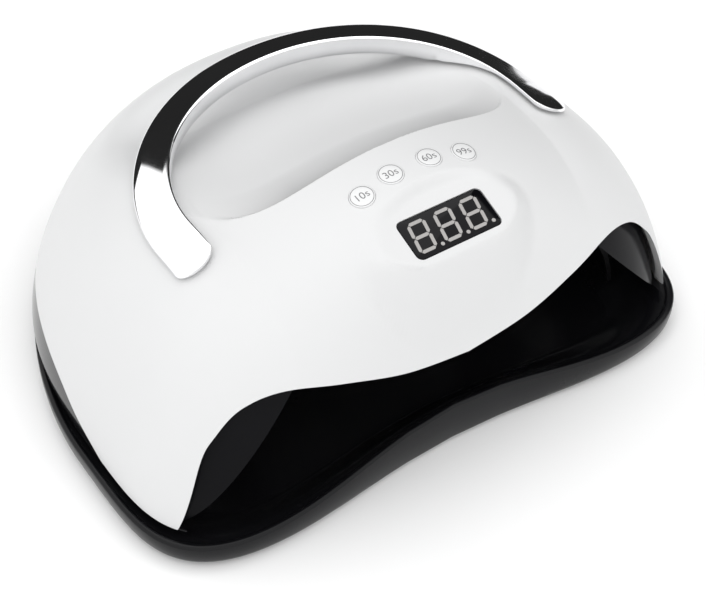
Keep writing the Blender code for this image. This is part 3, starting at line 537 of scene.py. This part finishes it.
def ramp(tree, source, low, high, low_at=0.3, high_at=0.7):
    """Runs from low, where the source is low_at, to high, where it is high_at."""
    node = tree.nodes.new("ShaderNodeMapRange")
    node.inputs["From Min"].default_value = low_at
    node.inputs["From Max"].default_value = high_at
    node.inputs["To Min"].default_value = low
    node.inputs["To Max"].default_value = high
    tree.links.new(source, node.inputs["Value"])
    return node.outputs["Result"]


def colour_mix(tree, source, first, second, low_at=0.35, high_at=0.65):
    node = tree.nodes.new("ShaderNodeMix")
    node.data_type = "RGBA"
    node.inputs["A"].default_value = (*first, 1.0)
    node.inputs["B"].default_value = (*second, 1.0)
    tree.links.new(ramp(tree, source, 0.0, 1.0, low_at, high_at), node.inputs["Factor"])
    return node.outputs["Result"]


def bumped(tree, shader, source, strength, distance):
    node = tree.nodes.new("ShaderNodeBump")
    node.inputs["Strength"].default_value = strength
    node.inputs["Distance"].default_value = distance
    tree.links.new(source, node.inputs["Height"])
    tree.links.new(node.outputs["Normal"], shader.inputs["Normal"])


def plastic(name, colour, spread, rough, grain=900.0, bump=0.04, specular=0.5, coat=0.0):
    """Moulded plastic: a slow drift of colour, cloudy gloss and a fine surface texture."""
    mat, tree, shader = principled(name)
    darker = tuple(max(0.0, c * (1.0 - spread)) for c in colour)
    drift = noise(tree, 14.0, 3.0)
    tree.links.new(colour_mix(tree, drift, darker, colour), shader.inputs["Base Color"])
    cloud = noise(tree, 60.0, 5.0, 0.6)
    tree.links.new(ramp(tree, cloud, rough[0], rough[1]), shader.inputs["Roughness"])
    bumped(tree, shader, noise(tree, grain, 2.0), bump, 0.0001)
    shader.inputs["Specular IOR Level"].default_value = specular
    shader.inputs["Coat Weight"].default_value = coat
    shader.inputs["Coat Roughness"].default_value = 0.05
    return mat


def metal(name, colour, rough, grain=300.0, bump=0.02):
    """Bright metal with a faint drift of colour and cloudy gloss."""
    mat, tree, shader = principled(name)
    shader.inputs["Metallic"].default_value = 1.0
    darker = tuple(c * 0.93 for c in colour)
    tree.links.new(colour_mix(tree, noise(tree, 40.0, 4.0), darker, colour), shader.inputs["Base Color"])
    tree.links.new(ramp(tree, noise(tree, 120.0, 6.0, 0.7), rough[0], rough[1]), shader.inputs["Roughness"])
    bumped(tree, shader, noise(tree, grain, 3.0), bump, 0.0001)
    return mat


def circuit_board(name, colour, copper):
    """Solder mask with fine darker tracks and a faint weave."""
    mat, tree, shader = principled(name)
    place = tree.nodes.new("ShaderNodeTexCoord")
    tracks = tree.nodes.new("ShaderNodeTexBrick")
    tracks.inputs["Scale"].default_value = 140.0
    tracks.inputs["Color1"].default_value = (*colour, 1.0)
    tracks.inputs["Color2"].default_value = (*(c * 0.85 for c in colour), 1.0)
    tracks.inputs["Mortar"].default_value = (*copper, 1.0)
    tracks.inputs["Mortar Size"].default_value = 0.03
    tree.links.new(place.outputs["Object"], tracks.inputs["Vector"])
    tree.links.new(tracks.outputs["Color"], shader.inputs["Base Color"])
    tree.links.new(ramp(tree, noise(tree, 90.0), 0.3, 0.5), shader.inputs["Roughness"])
    bumped(tree, shader, noise(tree, 700.0), 0.08, 0.0001)
    return mat


def arithmetic(tree, operation, first, second=0.0):
    """One sum on sockets or plain numbers."""
    node = tree.nodes.new("ShaderNodeMath")
    node.operation = operation
    for socket, value in zip(node.inputs, (first, second)):
        if isinstance(value, float):
            socket.default_value = value
        else:
            tree.links.new(value, socket)
    return node.outputs[0]


def paint_groove_shade(mat):
    """Paints a soft shade into the base colour low in the groove behind the hood's lip, where its shadow
    falls.
    """
    tree = mat.node_tree
    shader = tree.nodes["Principled BSDF"]
    place = tree.nodes.new("ShaderNodeTexCoord")
    parts = tree.nodes.new("ShaderNodeSeparateXYZ")
    tree.links.new(place.outputs["Object"], parts.inputs[0])
    across = arithmetic(tree, "ABSOLUTE", arithmetic(tree, "DIVIDE", parts.outputs["X"], HOOD_HALF_WIDTH))
    sweep = arithmetic(tree, "MULTIPLY", arithmetic(tree, "POWER", across, 6.0), LIP_SWEEP)
    behind = arithmetic(tree, "SUBTRACT", parts.outputs["Y"], arithmetic(tree, "ADD", sweep, LIP_Y))
    start = ramp(tree, behind, 0.0, 1.0, *GROOVE_SHADE_START)
    fall = ramp(tree, behind, 1.0, 0.0, GROOVE_SHADE_START[1], GROOVE_SHADE_REACH)
    ends = ramp(tree, across, 1.0, 0.0, *GROOVE_SHADE_ENDS)
    # How much painted shade covers the base colour at each point of the groove.
    mask = arithmetic(tree, "MULTIPLY", arithmetic(tree, "MULTIPLY", start, fall), ends)
    shade_mix = tree.nodes.new("ShaderNodeMix")
    shade_mix.data_type = "RGBA"
    tree.links.new(mask, shade_mix.inputs["Factor"])
    tree.links.new(shader.inputs["Base Color"].links[0].from_socket, shade_mix.inputs["A"])
    shade_mix.inputs["B"].default_value = GROOVE_SHADE_COLOUR
    tree.links.new(shade_mix.outputs["Result"], shader.inputs["Base Color"])


WHITE = plastic("shell_white", (0.64, 0.643, 0.646), 0.008, (0.34, 0.38), 700.0, 0.01, 0.22)
# Painted shade in the groove behind the lip, laid into the shell's white base colour.
paint_groove_shade(WHITE)
KEY_WHITE = plastic("button_white", (0.70, 0.703, 0.706), 0.02, (0.32, 0.42), 1200.0, 0.06, 0.4)
BLACK = plastic("gloss_black", (0.006, 0.006, 0.007), 0.3, (0.08, 0.14), 500.0, 0.02, 0.35)
BEZEL_BLACK = plastic("bezel_black", (0.006, 0.006, 0.007), 0.25, (0.18, 0.26), 800.0, 0.03, 0.05)
TRAY_BLACK = plastic("tray_black", (0.005, 0.005, 0.006), 0.25, (0.20, 0.28), 900.0, 0.04, 0.20)
LINER_BLACK = plastic("reflector_black", (0.003, 0.003, 0.0035), 0.3, (0.35, 0.45), 800.0, 0.05, 0.2)
WINDOW_BLACK = plastic("smoked_lens", (0.004, 0.004, 0.005), 0.2, (0.03, 0.06), 300.0, 0.01, 0.14)
SEGMENT_GREY = plastic("segment_grey", (0.36, 0.35, 0.34), 0.12, (0.35, 0.5), 1500.0, 0.05)
MARK_GREY = plastic("mark_grey", (0.15, 0.15, 0.155), 0.10, (0.45, 0.6), 1500.0, 0.05)
CHROME = metal("chrome", (0.93, 0.93, 0.94), (0.03, 0.06), 120.0, 0.01)
STEEL = metal("steel", (0.62, 0.62, 0.64), (0.25, 0.38))
NICKEL = metal("magnet_nickel", (0.72, 0.70, 0.66), (0.18, 0.3))
RUBBER = plastic("foot_rubber", (0.025, 0.025, 0.025), 0.3, (0.7, 0.9), 1500.0, 0.3, 0.3)
LEAD = plastic("lead_black", (0.02, 0.02, 0.02), 0.3, (0.45, 0.6), 1500.0, 0.2, 0.3)
MODULE = plastic("module_grey", (0.28, 0.28, 0.29), 0.15, (0.4, 0.55))
SWITCH = plastic("switch_grey", (0.09, 0.09, 0.10), 0.2, (0.4, 0.55))
BOARD = circuit_board("board_green", (0.02, 0.17, 0.08), (0.05, 0.30, 0.14))
LED_BOARD = circuit_board("led_board_white", (0.78, 0.78, 0.74), (0.66, 0.66, 0.62))


# ---------------------------------------------------------------- shell


def make_shell():
    """The white cover, with its wall, its arched and side edges, and the holes for the window and keys."""
    angles = np.linspace(0.0, 2.0 * math.pi, SHELL_SIDES, endpoint=False)
    outer = [shell_ring(angles, level, 0.0) for level in dome_levels(SIDE_RINGS, TOP_RINGS)]
    inner = [shell_ring(angles, level, SHELL_WALL) for level in dome_levels(12, 36)]
    outer[0] = shell_ring(angles, 0.0, SHELL_EDGE)
    outer.insert(1, shell_ring(angles, SHELL_EDGE / DOME_HEIGHT, 0.0))
    rings = [*reversed(inner), *outer]
    shell = ring_solid("shell_cover", rings, WHITE, crown_point(SHELL_WALL), crown_point(0.0))
    cut(shell, side_edge_tool(0.0))
    cut(shell, arch_tool())
    hole = rounded_rectangle(DISPLAY_WIDTH + 2 * GAP, DISPLAY_LENGTH + 2 * GAP, DISPLAY_CORNER + GAP)
    tool = prism("display_tool", hole, -0.0075, 0.0060)
    tool.matrix_world = panel_matrix()
    cut(shell, tool)
    for _, _, x, y in KEYS:
        tool = prism("key_tool", circle(BUTTON_RADIUS + GAP, 72), -0.0060, 0.0040)
        tool.matrix_world = facing(x, y)
        cut(shell, tool)
    smooth_again(shell, 30)
    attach(shell, "lamp")
    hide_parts("top_shell")


def panel_matrix():
    return Matrix.Translation((0.0, DISPLAY_Y, DISPLAY_Z)) @ Matrix.Rotation(PANEL_TILT, 4, "X")


def facing(x, y):
    """The frame of a key: its origin on the roof, its +Z straight out."""
    turn = Vector((0.0, 0.0, 1.0)).rotation_difference(roof_normal(x, y)).to_matrix().to_4x4()
    return Matrix.Translation((x, y, float(roof_height(np.float64(x), y)))) @ turn


def make_bezel():
    """The black frame behind the arched edge, cut through by the hand opening."""
    angles = np.linspace(0.0, 2.0 * math.pi, SHELL_SIDES, endpoint=False)
    levels = np.linspace(0.0, BEZEL_TOP_LEVEL, 40)
    outer = [shell_ring(angles, level, BEZEL_INSET) for level in levels]
    inner = [shell_ring(angles, level, BEZEL_INSET + BEZEL_THICK) for level in levels]
    bezel = ring_solid("bezel_frame", [*outer, *reversed(inner)], BEZEL_BLACK)
    keep = [
        (-BEZEL_REACH, -BEZEL_REACH),
        (BEZEL_REACH, -BEZEL_REACH),
        (BEZEL_REACH, BEZEL_BACK_Y),
        (-BEZEL_REACH, BEZEL_BACK_Y),
    ]
    cut(bezel, prism("bezel_keep", keep, 0.0, BEZEL_TOP_Z), "INTERSECT")
    cut(bezel, opening_tool())
    smooth_again(bezel)
    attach(bezel, "lamp")
    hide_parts("front_bezel")


def skirt_ring(angles, inset, z):
    x, y = shell_outline(angles, 0.0, inset)
    return np.stack([x, y, np.full_like(x, z)], axis=-1)


def skirt_wall(angles):
    """The wall that carries the shell's curve on below its side and back edge."""
    levels = np.linspace(0.0, WALL_TOP_LEVEL, 16)
    start = (SKIRT_BOTTOM_Z + SKIRT_TOP_Z) / 2
    rings = [skirt_ring(angles, GAP, start)]
    rings += [shell_ring(angles, level, GAP) for level in levels]
    rings += [shell_ring(angles, level, WALL_THICK) for level in reversed(levels)]
    rings.append(skirt_ring(angles, WALL_THICK, start))
    wall = ring_solid("skirt_wall", rings, BLACK)
    cut(wall, side_edge_tool(GAP), "INTERSECT")
    return wall


def jack_tool():
    """A round tool that runs back from the front end of the power jack."""
    tool = prism("jack_tool", circle(JACK_RADIUS + GAP, 48), 0.0, JACK_HOLE_LENGTH)
    start = Matrix.Translation((0.0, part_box("power_jack")[0][1], JACK_Z))
    tool.matrix_world = start @ Matrix.Rotation(-math.pi / 2, 4, "X")
    return tool


def make_skirt():
    """The black ring under the shell, joined to the wall that rises at its sides and back."""
    angles = np.linspace(0.0, 2.0 * math.pi, SHELL_SIDES, endpoint=False)
    edge = SKIRT_EDGE
    section = (
        (SKIRT_INSET + edge, SKIRT_BOTTOM_Z),
        (SKIRT_INSET + 0.3 * edge, SKIRT_BOTTOM_Z + 0.3 * edge),
        (SKIRT_INSET, SKIRT_BOTTOM_Z + edge),
        (SKIRT_INSET, SKIRT_TOP_Z - edge),
        (SKIRT_INSET + 0.3 * edge, SKIRT_TOP_Z - 0.3 * edge),
        (SKIRT_INSET + edge, SKIRT_TOP_Z),
        (SKIRT_FLANGE_INSET, SKIRT_TOP_Z),
        (SKIRT_FLANGE_INSET, SKIRT_BOTTOM_Z),
    )
    skirt = ring_solid("skirt", [skirt_ring(angles, *step) for step in section], BLACK)
    cut(skirt, skirt_wall(angles), "UNION")
    cut(skirt, opening_tool())
    cut(skirt, jack_tool())
    smooth_again(skirt)
    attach(skirt, "lamp")
    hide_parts("lower_housing")


# ---------------------------------------------------------------- tray


def tray_outline(angle, inset):
    across, along = np.cos(angle), np.sin(angle)
    square = np.where(along < 0, TRAY_SQUARE_FRONT, TRAY_SQUARE_REAR)
    depth = np.where(along < 0, TRAY_FRONT, TRAY_REAR)
    x = (TRAY_HALF_WIDTH - inset) * signed_power(across, 2.0 / square)
    y = SHELL_CENTRE_Y + (depth - inset) * signed_power(along, 2.0 / square)
    y = y + np.where(along < 0, WAIST_DEPTH * np.exp(-((x / WAIST_WIDTH) ** 2)), 0.0)
    return x, y


def tray_section():
    """The tray's wall, round rim and basin, as inset, height and share of the front crown."""
    section = [(inset, TRAY_BOTTOM_Z + rise, crown_share) for inset, rise, crown_share in TRAY_WALL]
    rim_low = TRAY_RIM_Z - RIM_ROUND
    for i in range(RIM_STEPS + 1):
        turn = math.pi * i / RIM_STEPS
        inset = RIM_HALF_WIDTH - RIM_HALF_WIDTH * math.cos(turn)
        section.append((inset, rim_low + RIM_ROUND * math.sin(turn), 1.0))
    for i in range(1, BASIN_STEPS + 1):
        share = i / BASIN_STEPS
        fall = share * share * (3 - 2 * share)
        inset = 2 * RIM_HALF_WIDTH + BASIN_WIDTH * share
        section.append((inset, rim_low - (rim_low - TRAY_FLOOR_Z) * fall, 1.0 - fall))
    return section


def tray_post(plate):
    """The post under a catch plate."""
    low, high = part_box(plate)
    profile = [
        (POST_RADIUS, TRAY_BOTTOM_Z + 0.001),
        (POST_RADIUS, low[2] - POST_BEVEL),
        (POST_TOP_RADIUS, low[2] - GAP),
    ]
    post = turned("tray_post", profile, 48)
    post.location = ((low[0] + high[0]) / 2, (low[1] + high[1]) / 2, 0.0)
    return post


def make_tray():
    angles = np.linspace(0.0, 2.0 * math.pi, TRAY_SIDES, endpoint=False)
    section = tray_section()
    rings = []
    for inset, z, crown_share in section:
        x, y = tray_outline(angles, inset)
        crown = TRAY_CROWN * np.exp(-((x / TRAY_CROWN_WIDTH) ** 2))
        crown = np.where(np.sin(angles) < 0, crown, 0.0)
        rings.append(np.stack([x, y, z + crown_share * crown], axis=-1))
    x, y = tray_outline(angles, section[-1][0])
    floor_z = np.full_like(x, TRAY_FLOOR_Z)
    for share in FLOOR_SHARES:
        rings.append(np.stack([x * share, SHELL_CENTRE_Y * (1 - share) + y * share, floor_z], axis=-1))
    low_middle = (0, SHELL_CENTRE_Y, TRAY_BOTTOM_Z)
    high_middle = (0, SHELL_CENTRE_Y, TRAY_FLOOR_Z)
    tray = ring_solid("tray", rings, TRAY_BLACK, low_middle, high_middle, 40)
    for index in range(4):
        cut(tray, tray_post(f"catch_plate_{index + 1}"), "UNION")
    smooth_again(tray, 40)
    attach(tray, "base")
    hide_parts("base_tray")


# ---------------------------------------------------------------- handle


def strap_plan(place, across):
    """Plan point of the strap, and how far back it lies.

    place runs 0 to 1 from foot to foot, and across 0 to 1 from the outer edge to the inner edge.
    """
    if place < STRAP_LEG_SHARE:
        angle, leg = 0.0, 1.0 - place / STRAP_LEG_SHARE
    elif place > 1.0 - STRAP_LEG_SHARE:
        angle, leg = math.pi, 1.0 - (1.0 - place) / STRAP_LEG_SHARE
    else:
        angle, leg = math.pi * (place - STRAP_LEG_SHARE) / (1.0 - 2 * STRAP_LEG_SHARE), 0.0
    half_x = HANDLE_OUTER[0] + (HANDLE_INNER[0] - HANDLE_OUTER[0]) * across
    half_y = HANDLE_OUTER[1] + (HANDLE_INNER[1] - HANDLE_OUTER[1]) * across
    y = HANDLE_CENTRE_Y + half_y * math.sin(angle) - HANDLE_LEG * leg
    return half_x * math.cos(angle), y, math.sin(angle)


def strap_rows(places, widths, across):
    """Arrays of x, y and top height at each place, each share across drawn in to the strap's width there."""
    drawn = [[0.5 + width * (share - 0.5) for share in across] for width in widths]
    plan = np.array([[strap_plan(place, share) for share in row] for place, row in zip(places, drawn)])
    x, y, rear = plan[..., 0], plan[..., 1], plan[..., 2]
    edges = np.array([[strap_plan(place, share) for share in (0.5, 0.0, 1.0)] for place in places])
    dome = DOME_START_Z + DOME_HEIGHT * dome_level(edges[..., 0], edges[..., 1])
    shares = np.asarray(drawn)
    share = STRAP_TILT[0] + (STRAP_TILT[1] - STRAP_TILT[0]) * rear
    tilt = share * (dome[:, 2:3] - dome[:, 1:2]) * (shares - 0.5)
    lift = HANDLE_LIFT[0] + (HANDLE_LIFT[1] - HANDLE_LIFT[0]) * rear
    return x, y, dome[:, 0:1] + tilt + lift + STRAP_CROWN * 4.0 * shares * (1.0 - shares)


def strap_stations():
    """Places along the strap and its share of full width there, with each foot rounded off."""
    turns = np.linspace(0.04, 0.5 * math.pi, FOOT_TURNS, endpoint=False)
    foot = [(-FOOT_REACH * math.cos(turn), math.sin(turn)) for turn in turns]
    span = [(place, 1.0) for place in np.linspace(0.0, 1.0, STRAP_STATIONS)]
    return [*foot, *span, *[(1.0 - place, width) for place, width in reversed(foot)]]


def make_handle():
    """The strap's section, swept from foot to foot."""
    places, widths = zip(*strap_stations())
    bevel = STRAP_BEVEL
    across = np.array([bevel * 0.3, bevel, 0.2, 0.4, 0.6, 0.8, 1 - bevel, 1 - bevel * 0.3])
    sag = np.array([BEVEL_SAG, 0.0, 0.0, 0.0, 0.0, 0.0, 0.0, BEVEL_SAG])
    x, y, top = strap_rows(places, widths, across)
    side_x, side_y, side_top = strap_rows(places, widths, [1.0, 0.0])
    low_x, low_y, low_top = strap_rows(places, widths, [0.92, 0.5, 0.08])
    bottom = np.maximum(low_top - HANDLE_THICK, roof_height(low_x, low_y) + STRAP_CLEARANCE)
    bottom = np.minimum(bottom, low_top - LEAST_THICK)
    side_roof = roof_height(side_x, side_y) + STRAP_CLEARANCE
    side_low = np.maximum(side_top - HANDLE_THICK * SIDE_SHARE, side_roof)
    side_low = np.minimum(side_low, side_top - LEAST_SIDE)
    sections = []
    for i in range(len(places)):
        ring = [(x[i, k], y[i, k], top[i, k] - sag[k]) for k in range(len(across))]
        ring.append((side_x[i, 0], side_y[i, 0], side_top[i, 0] - SIDE_DROP))
        ring.append((side_x[i, 0], side_y[i, 0], side_low[i, 0]))
        ring += [(low_x[i, k], low_y[i, k], bottom[i, k]) for k in range(3)]
        ring.append((side_x[i, 1], side_y[i, 1], side_low[i, 1]))
        ring.append((side_x[i, 1], side_y[i, 1], side_top[i, 1] - SIDE_DROP))
        sections.append(np.array(ring))
    first_middle = sections[0].mean(axis=0)
    last_middle = sections[-1].mean(axis=0)
    strap = ring_solid("handle_strap", sections, CHROME, first_middle, last_middle, 38)
    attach(strap, "lamp")
    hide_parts("handle_frame")


# ---------------------------------------------------------------- panel


def lying_bar(centre_y, reach, tip):
    """A bar along X with pointed ends."""
    upper = [(-reach, centre_y), (-reach + tip, centre_y + tip), (reach - tip, centre_y + tip)]
    return [*upper, (reach, centre_y), (reach - tip, centre_y - tip), (-reach + tip, centre_y - tip)]


def standing_bar(centre_x, low, high, tip):
    """A bar along Y with pointed ends."""
    right = [(centre_x, low), (centre_x + tip, low + tip), (centre_x + tip, high - tip)]
    return [*right, (centre_x, high), (centre_x - tip, high - tip), (centre_x - tip, low + tip)]


def seven_segments():
    """Outlines of the seven bars of a digit centred on the origin."""
    half_w, half_h, tip = DIGIT_WIDTH / 2, DIGIT_HEIGHT / 2, BAR_WIDTH / 2
    reach = half_w - tip - BAR_GAP
    bars = [lying_bar(centre_y, reach, tip) for centre_y in (half_h - tip, 0.0, -half_h + tip)]
    for centre_x in (-half_w + tip, half_w - tip):
        for low, high in ((0.0, half_h - tip), (-half_h + tip, 0.0)):
            bars.append(standing_bar(centre_x, low + BAR_GAP, high - BAR_GAP, tip))
    return bars


def add_slab(points, faces, outline):
    """Adds a thin slab of this outline to the lists of points and faces."""
    base = len(points)
    count = len(outline)
    for z in BAR_HEIGHTS:
        points.extend((a, b, z) for a, b in outline)
    low = [base + i for i in range(count)]
    high = [base + count + i for i in range(count)]
    faces.extend((low[i], low[(i + 1) % count], high[(i + 1) % count], high[i]) for i in range(count))
    faces.append(tuple(low))
    faces.append(tuple(high))


def make_window():
    edge = WINDOW_EDGE
    section = (
        (0.0, WINDOW_BOTTOM),
        (0.0, WINDOW_TOP - edge),
        (edge * 0.3, WINDOW_TOP - edge * 0.3),
        (edge, WINDOW_TOP),
    )
    rings = []
    for inset, z in section:
        size = (DISPLAY_WIDTH - 2 * inset, DISPLAY_LENGTH - 2 * inset)
        outline = rounded_rectangle(*size, DISPLAY_CORNER - inset, 12)
        rings.append(np.array([(a, b, z) for a, b in outline]))
    window = ring_solid("window", rings, WINDOW_BLACK, (0, 0, WINDOW_BOTTOM), (0, 0, WINDOW_TOP), 40)
    window.matrix_world = panel_matrix()
    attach(window, "lamp")
    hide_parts("display_window")


def make_digits():
    """Three unlit digits, each with its dot, just proud of the window."""
    lean = math.tan(DIGIT_LEAN)
    points, faces = [], []
    for digit in range(3):
        centre = (digit - 1) * DIGIT_PITCH + DIGIT_SHIFT
        for outline in seven_segments():
            add_slab(points, faces, [(centre + a + b * lean, b) for a, b in outline])
        dot_x, dot_y = DOT_PLACE
        add_slab(points, faces, [(centre + dot_x + a, dot_y + b) for a, b in circle(DOT_RADIUS, 20)])
    digits = add_mesh("digits", points, faces, SEGMENT_GREY, smooth=False)
    digits.matrix_world = panel_matrix()
    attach(digits, "lamp")


def make_key(node, spot):
    profile = [
        (BUTTON_RADIUS + BUTTON_FLANGE, -BUTTON_DEPTH),
        (BUTTON_RADIUS + BUTTON_FLANGE, -BUTTON_DEPTH + BUTTON_FLANGE),
        (BUTTON_RADIUS, -BUTTON_DEPTH + BUTTON_FLANGE),
        (BUTTON_RADIUS, -KEY_COLLAR_DEPTH),
        (BUTTON_RADIUS + KEY_COLLAR, -KEY_COLLAR_DEPTH + KEY_COLLAR),
        (BUTTON_RADIUS + KEY_COLLAR, BUTTON_PROUD - 0.0003),
        (BUTTON_RADIUS + 0.6 * KEY_COLLAR, BUTTON_PROUD - 0.0001),
        (BUTTON_RADIUS - 0.0001, BUTTON_PROUD),
        (BUTTON_RADIUS * 0.5, BUTTON_PROUD + 0.00002),
    ]
    key = turned(node.replace("button", "key"), profile, KEY_SIDES, KEY_WHITE, 40)
    key.matrix_world = spot
    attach(key, node)
    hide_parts(node)


def make_key_ring(node, spot):
    """The thin printed ring near the key's edge."""
    outer = BUTTON_RADIUS - RING_OUTER_INSET
    inner = BUTTON_RADIUS - RING_INNER_INSET
    low = BUTTON_PROUD - RING_SINK
    high = BUTTON_PROUD + MARK_RISE
    rings = []
    for radius, z in ((outer, low), (outer, high), (inner, high), (inner, low)):
        rings.append(np.array([(a, b, z) for a, b in circle(radius, KEY_SIDES)]))
    ring = ring_solid(node + "_ring", rings, MARK_GREY)
    ring.matrix_world = spot
    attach(ring, node)


def make_key_mark(node, label, spot):
    """The seconds that the key sets."""
    text = bpy.data.curves.new(node + "_mark", "FONT")
    text.body = label
    text.size = MARK_SIZE
    text.align_x = "CENTER"
    text.align_y = "CENTER"
    text.extrude = MARK_THICK
    text.offset = -MARK_THICK
    text.materials.append(MARK_GREY)
    mark = bpy.data.objects.new(node + "_mark", text)
    bpy.context.scene.collection.objects.link(mark)
    mark.matrix_world = spot @ Matrix.Translation((0, 0, BUTTON_PROUD + MARK_RISE))
    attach(mark, node)


def make_keys():
    for node, label, x, y in KEYS:
        spot = facing(x, y)
        make_key(node, spot)
        make_key_ring(node, spot)
        make_key_mark(node, label, spot)


# ---------------------------------------------------------------- carried-over CAD nodes


def dress_nodes():
    looks = {
        "reflector": LINER_BLACK,
        "led_board": LED_BOARD,
        "sensor": WINDOW_BLACK,
        "control_board": BOARD,
        "display_module": MODULE,
        "switch": SWITCH,
        "power_jack": BLACK,
        "power_lead": LEAD,
        "handle_screw": STEEL,
        "housing_screw": STEEL,
        "tray_magnet": NICKEL,
        "catch_plate": STEEL,
        "rubber_foot": RUBBER,
    }
    for name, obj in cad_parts.items():
        for prefix, mat in looks.items():
            if name.startswith(prefix):
                obj.data.materials.clear()
                obj.data.materials.append(mat)


# ---------------------------------------------------------------- stage, light and camera


def make_stage():
    corners = [(a * FLOOR_HALF, b * FLOOR_HALF, 0) for a, b in ((-1, -1), (1, -1), (1, 1), (-1, 1))]
    floor = add_mesh("floor", corners, [(0, 1, 2, 3)], None, smooth=False)
    floor.location.z = FLOOR_Z
    mat, tree, shader = principled("floor_paper")
    pale = colour_mix(tree, noise(tree, 6.0, 3.0), (0.90, 0.90, 0.90), (0.92, 0.92, 0.92))
    tree.links.new(pale, shader.inputs["Base Color"])
    tree.links.new(ramp(tree, noise(tree, 30.0), 0.75, 0.85), shader.inputs["Roughness"])
    bumped(tree, shader, noise(tree, 400.0), 0.03, 0.0002)
    floor.data.materials.append(mat)


def add_area(name, place, target, size, power):
    data = bpy.data.lights.new(name, "AREA")
    data.shape = "RECTANGLE"
    data.size = size[0]
    data.size_y = size[1]
    data.energy = power
    light = bpy.data.objects.new(name, data)
    light.location = place
    light.rotation_euler = (Vector(target) - Vector(place)).to_track_quat("-Z", "Y").to_euler()
    bpy.context.scene.collection.objects.link(light)


def make_lights():
    """An even white surround with one dark card behind the lamp's right, which its bright parts mirror."""
    world = bpy.data.worlds.new("studio")
    world.use_nodes = True
    tree = world.node_tree
    sky = tree.nodes["Background"]
    place = tree.nodes.new("ShaderNodeTexCoord")
    towards = tree.nodes.new("ShaderNodeVectorMath")
    towards.operation = "DOT_PRODUCT"
    towards.inputs[1].default_value = DARK_CARD
    tree.links.new(place.outputs["Generated"], towards.inputs[0])
    card = ramp(tree, towards.outputs["Value"], SURROUND, DARK_LIGHT, *CARD_EDGE)
    tree.links.new(card, sky.inputs["Strength"])
    sky.inputs["Color"].default_value = (1.0, 1.0, 1.0, 1.0)
    bpy.context.scene.world = world
    add_area("key", KEY_LIGHT_PLACE, KEY_LIGHT_TARGET, KEY_LIGHT_SIZE, KEY_LIGHT_POWER)


def make_camera():
    right = Vector((math.cos(CAMERA_TURN), -math.sin(CAMERA_TURN), 0.0))
    lean = math.sin(CAMERA_HEIGHT)
    up = Vector((math.sin(CAMERA_TURN) * lean, math.cos(CAMERA_TURN) * lean, math.cos(CAMERA_HEIGHT)))
    back = right.cross(up)
    rolled_right = right * math.cos(CAMERA_ROLL) + up * math.sin(CAMERA_ROLL)
    rolled_up = up * math.cos(CAMERA_ROLL) - right * math.sin(CAMERA_ROLL)
    data = bpy.data.cameras.new("camera")
    data.sensor_width = 36.0
    data.lens = CAMERA_LENS
    data.clip_start = 0.01
    camera = bpy.data.objects.new("camera", data)
    basis = Matrix((rolled_right, rolled_up, back)).transposed().to_4x4()
    camera.matrix_world = Matrix.Translation(CAMERA_PLACE) @ basis
    bpy.context.scene.collection.objects.link(camera)
    bpy.context.scene.camera = camera
    bpy.context.scene.view_settings.view_transform = "Standard"


make_shell()
make_bezel()
make_skirt()
make_tray()
make_handle()
make_window()
make_digits()
make_keys()
dress_nodes()
make_stage()
make_lights()
make_camera()
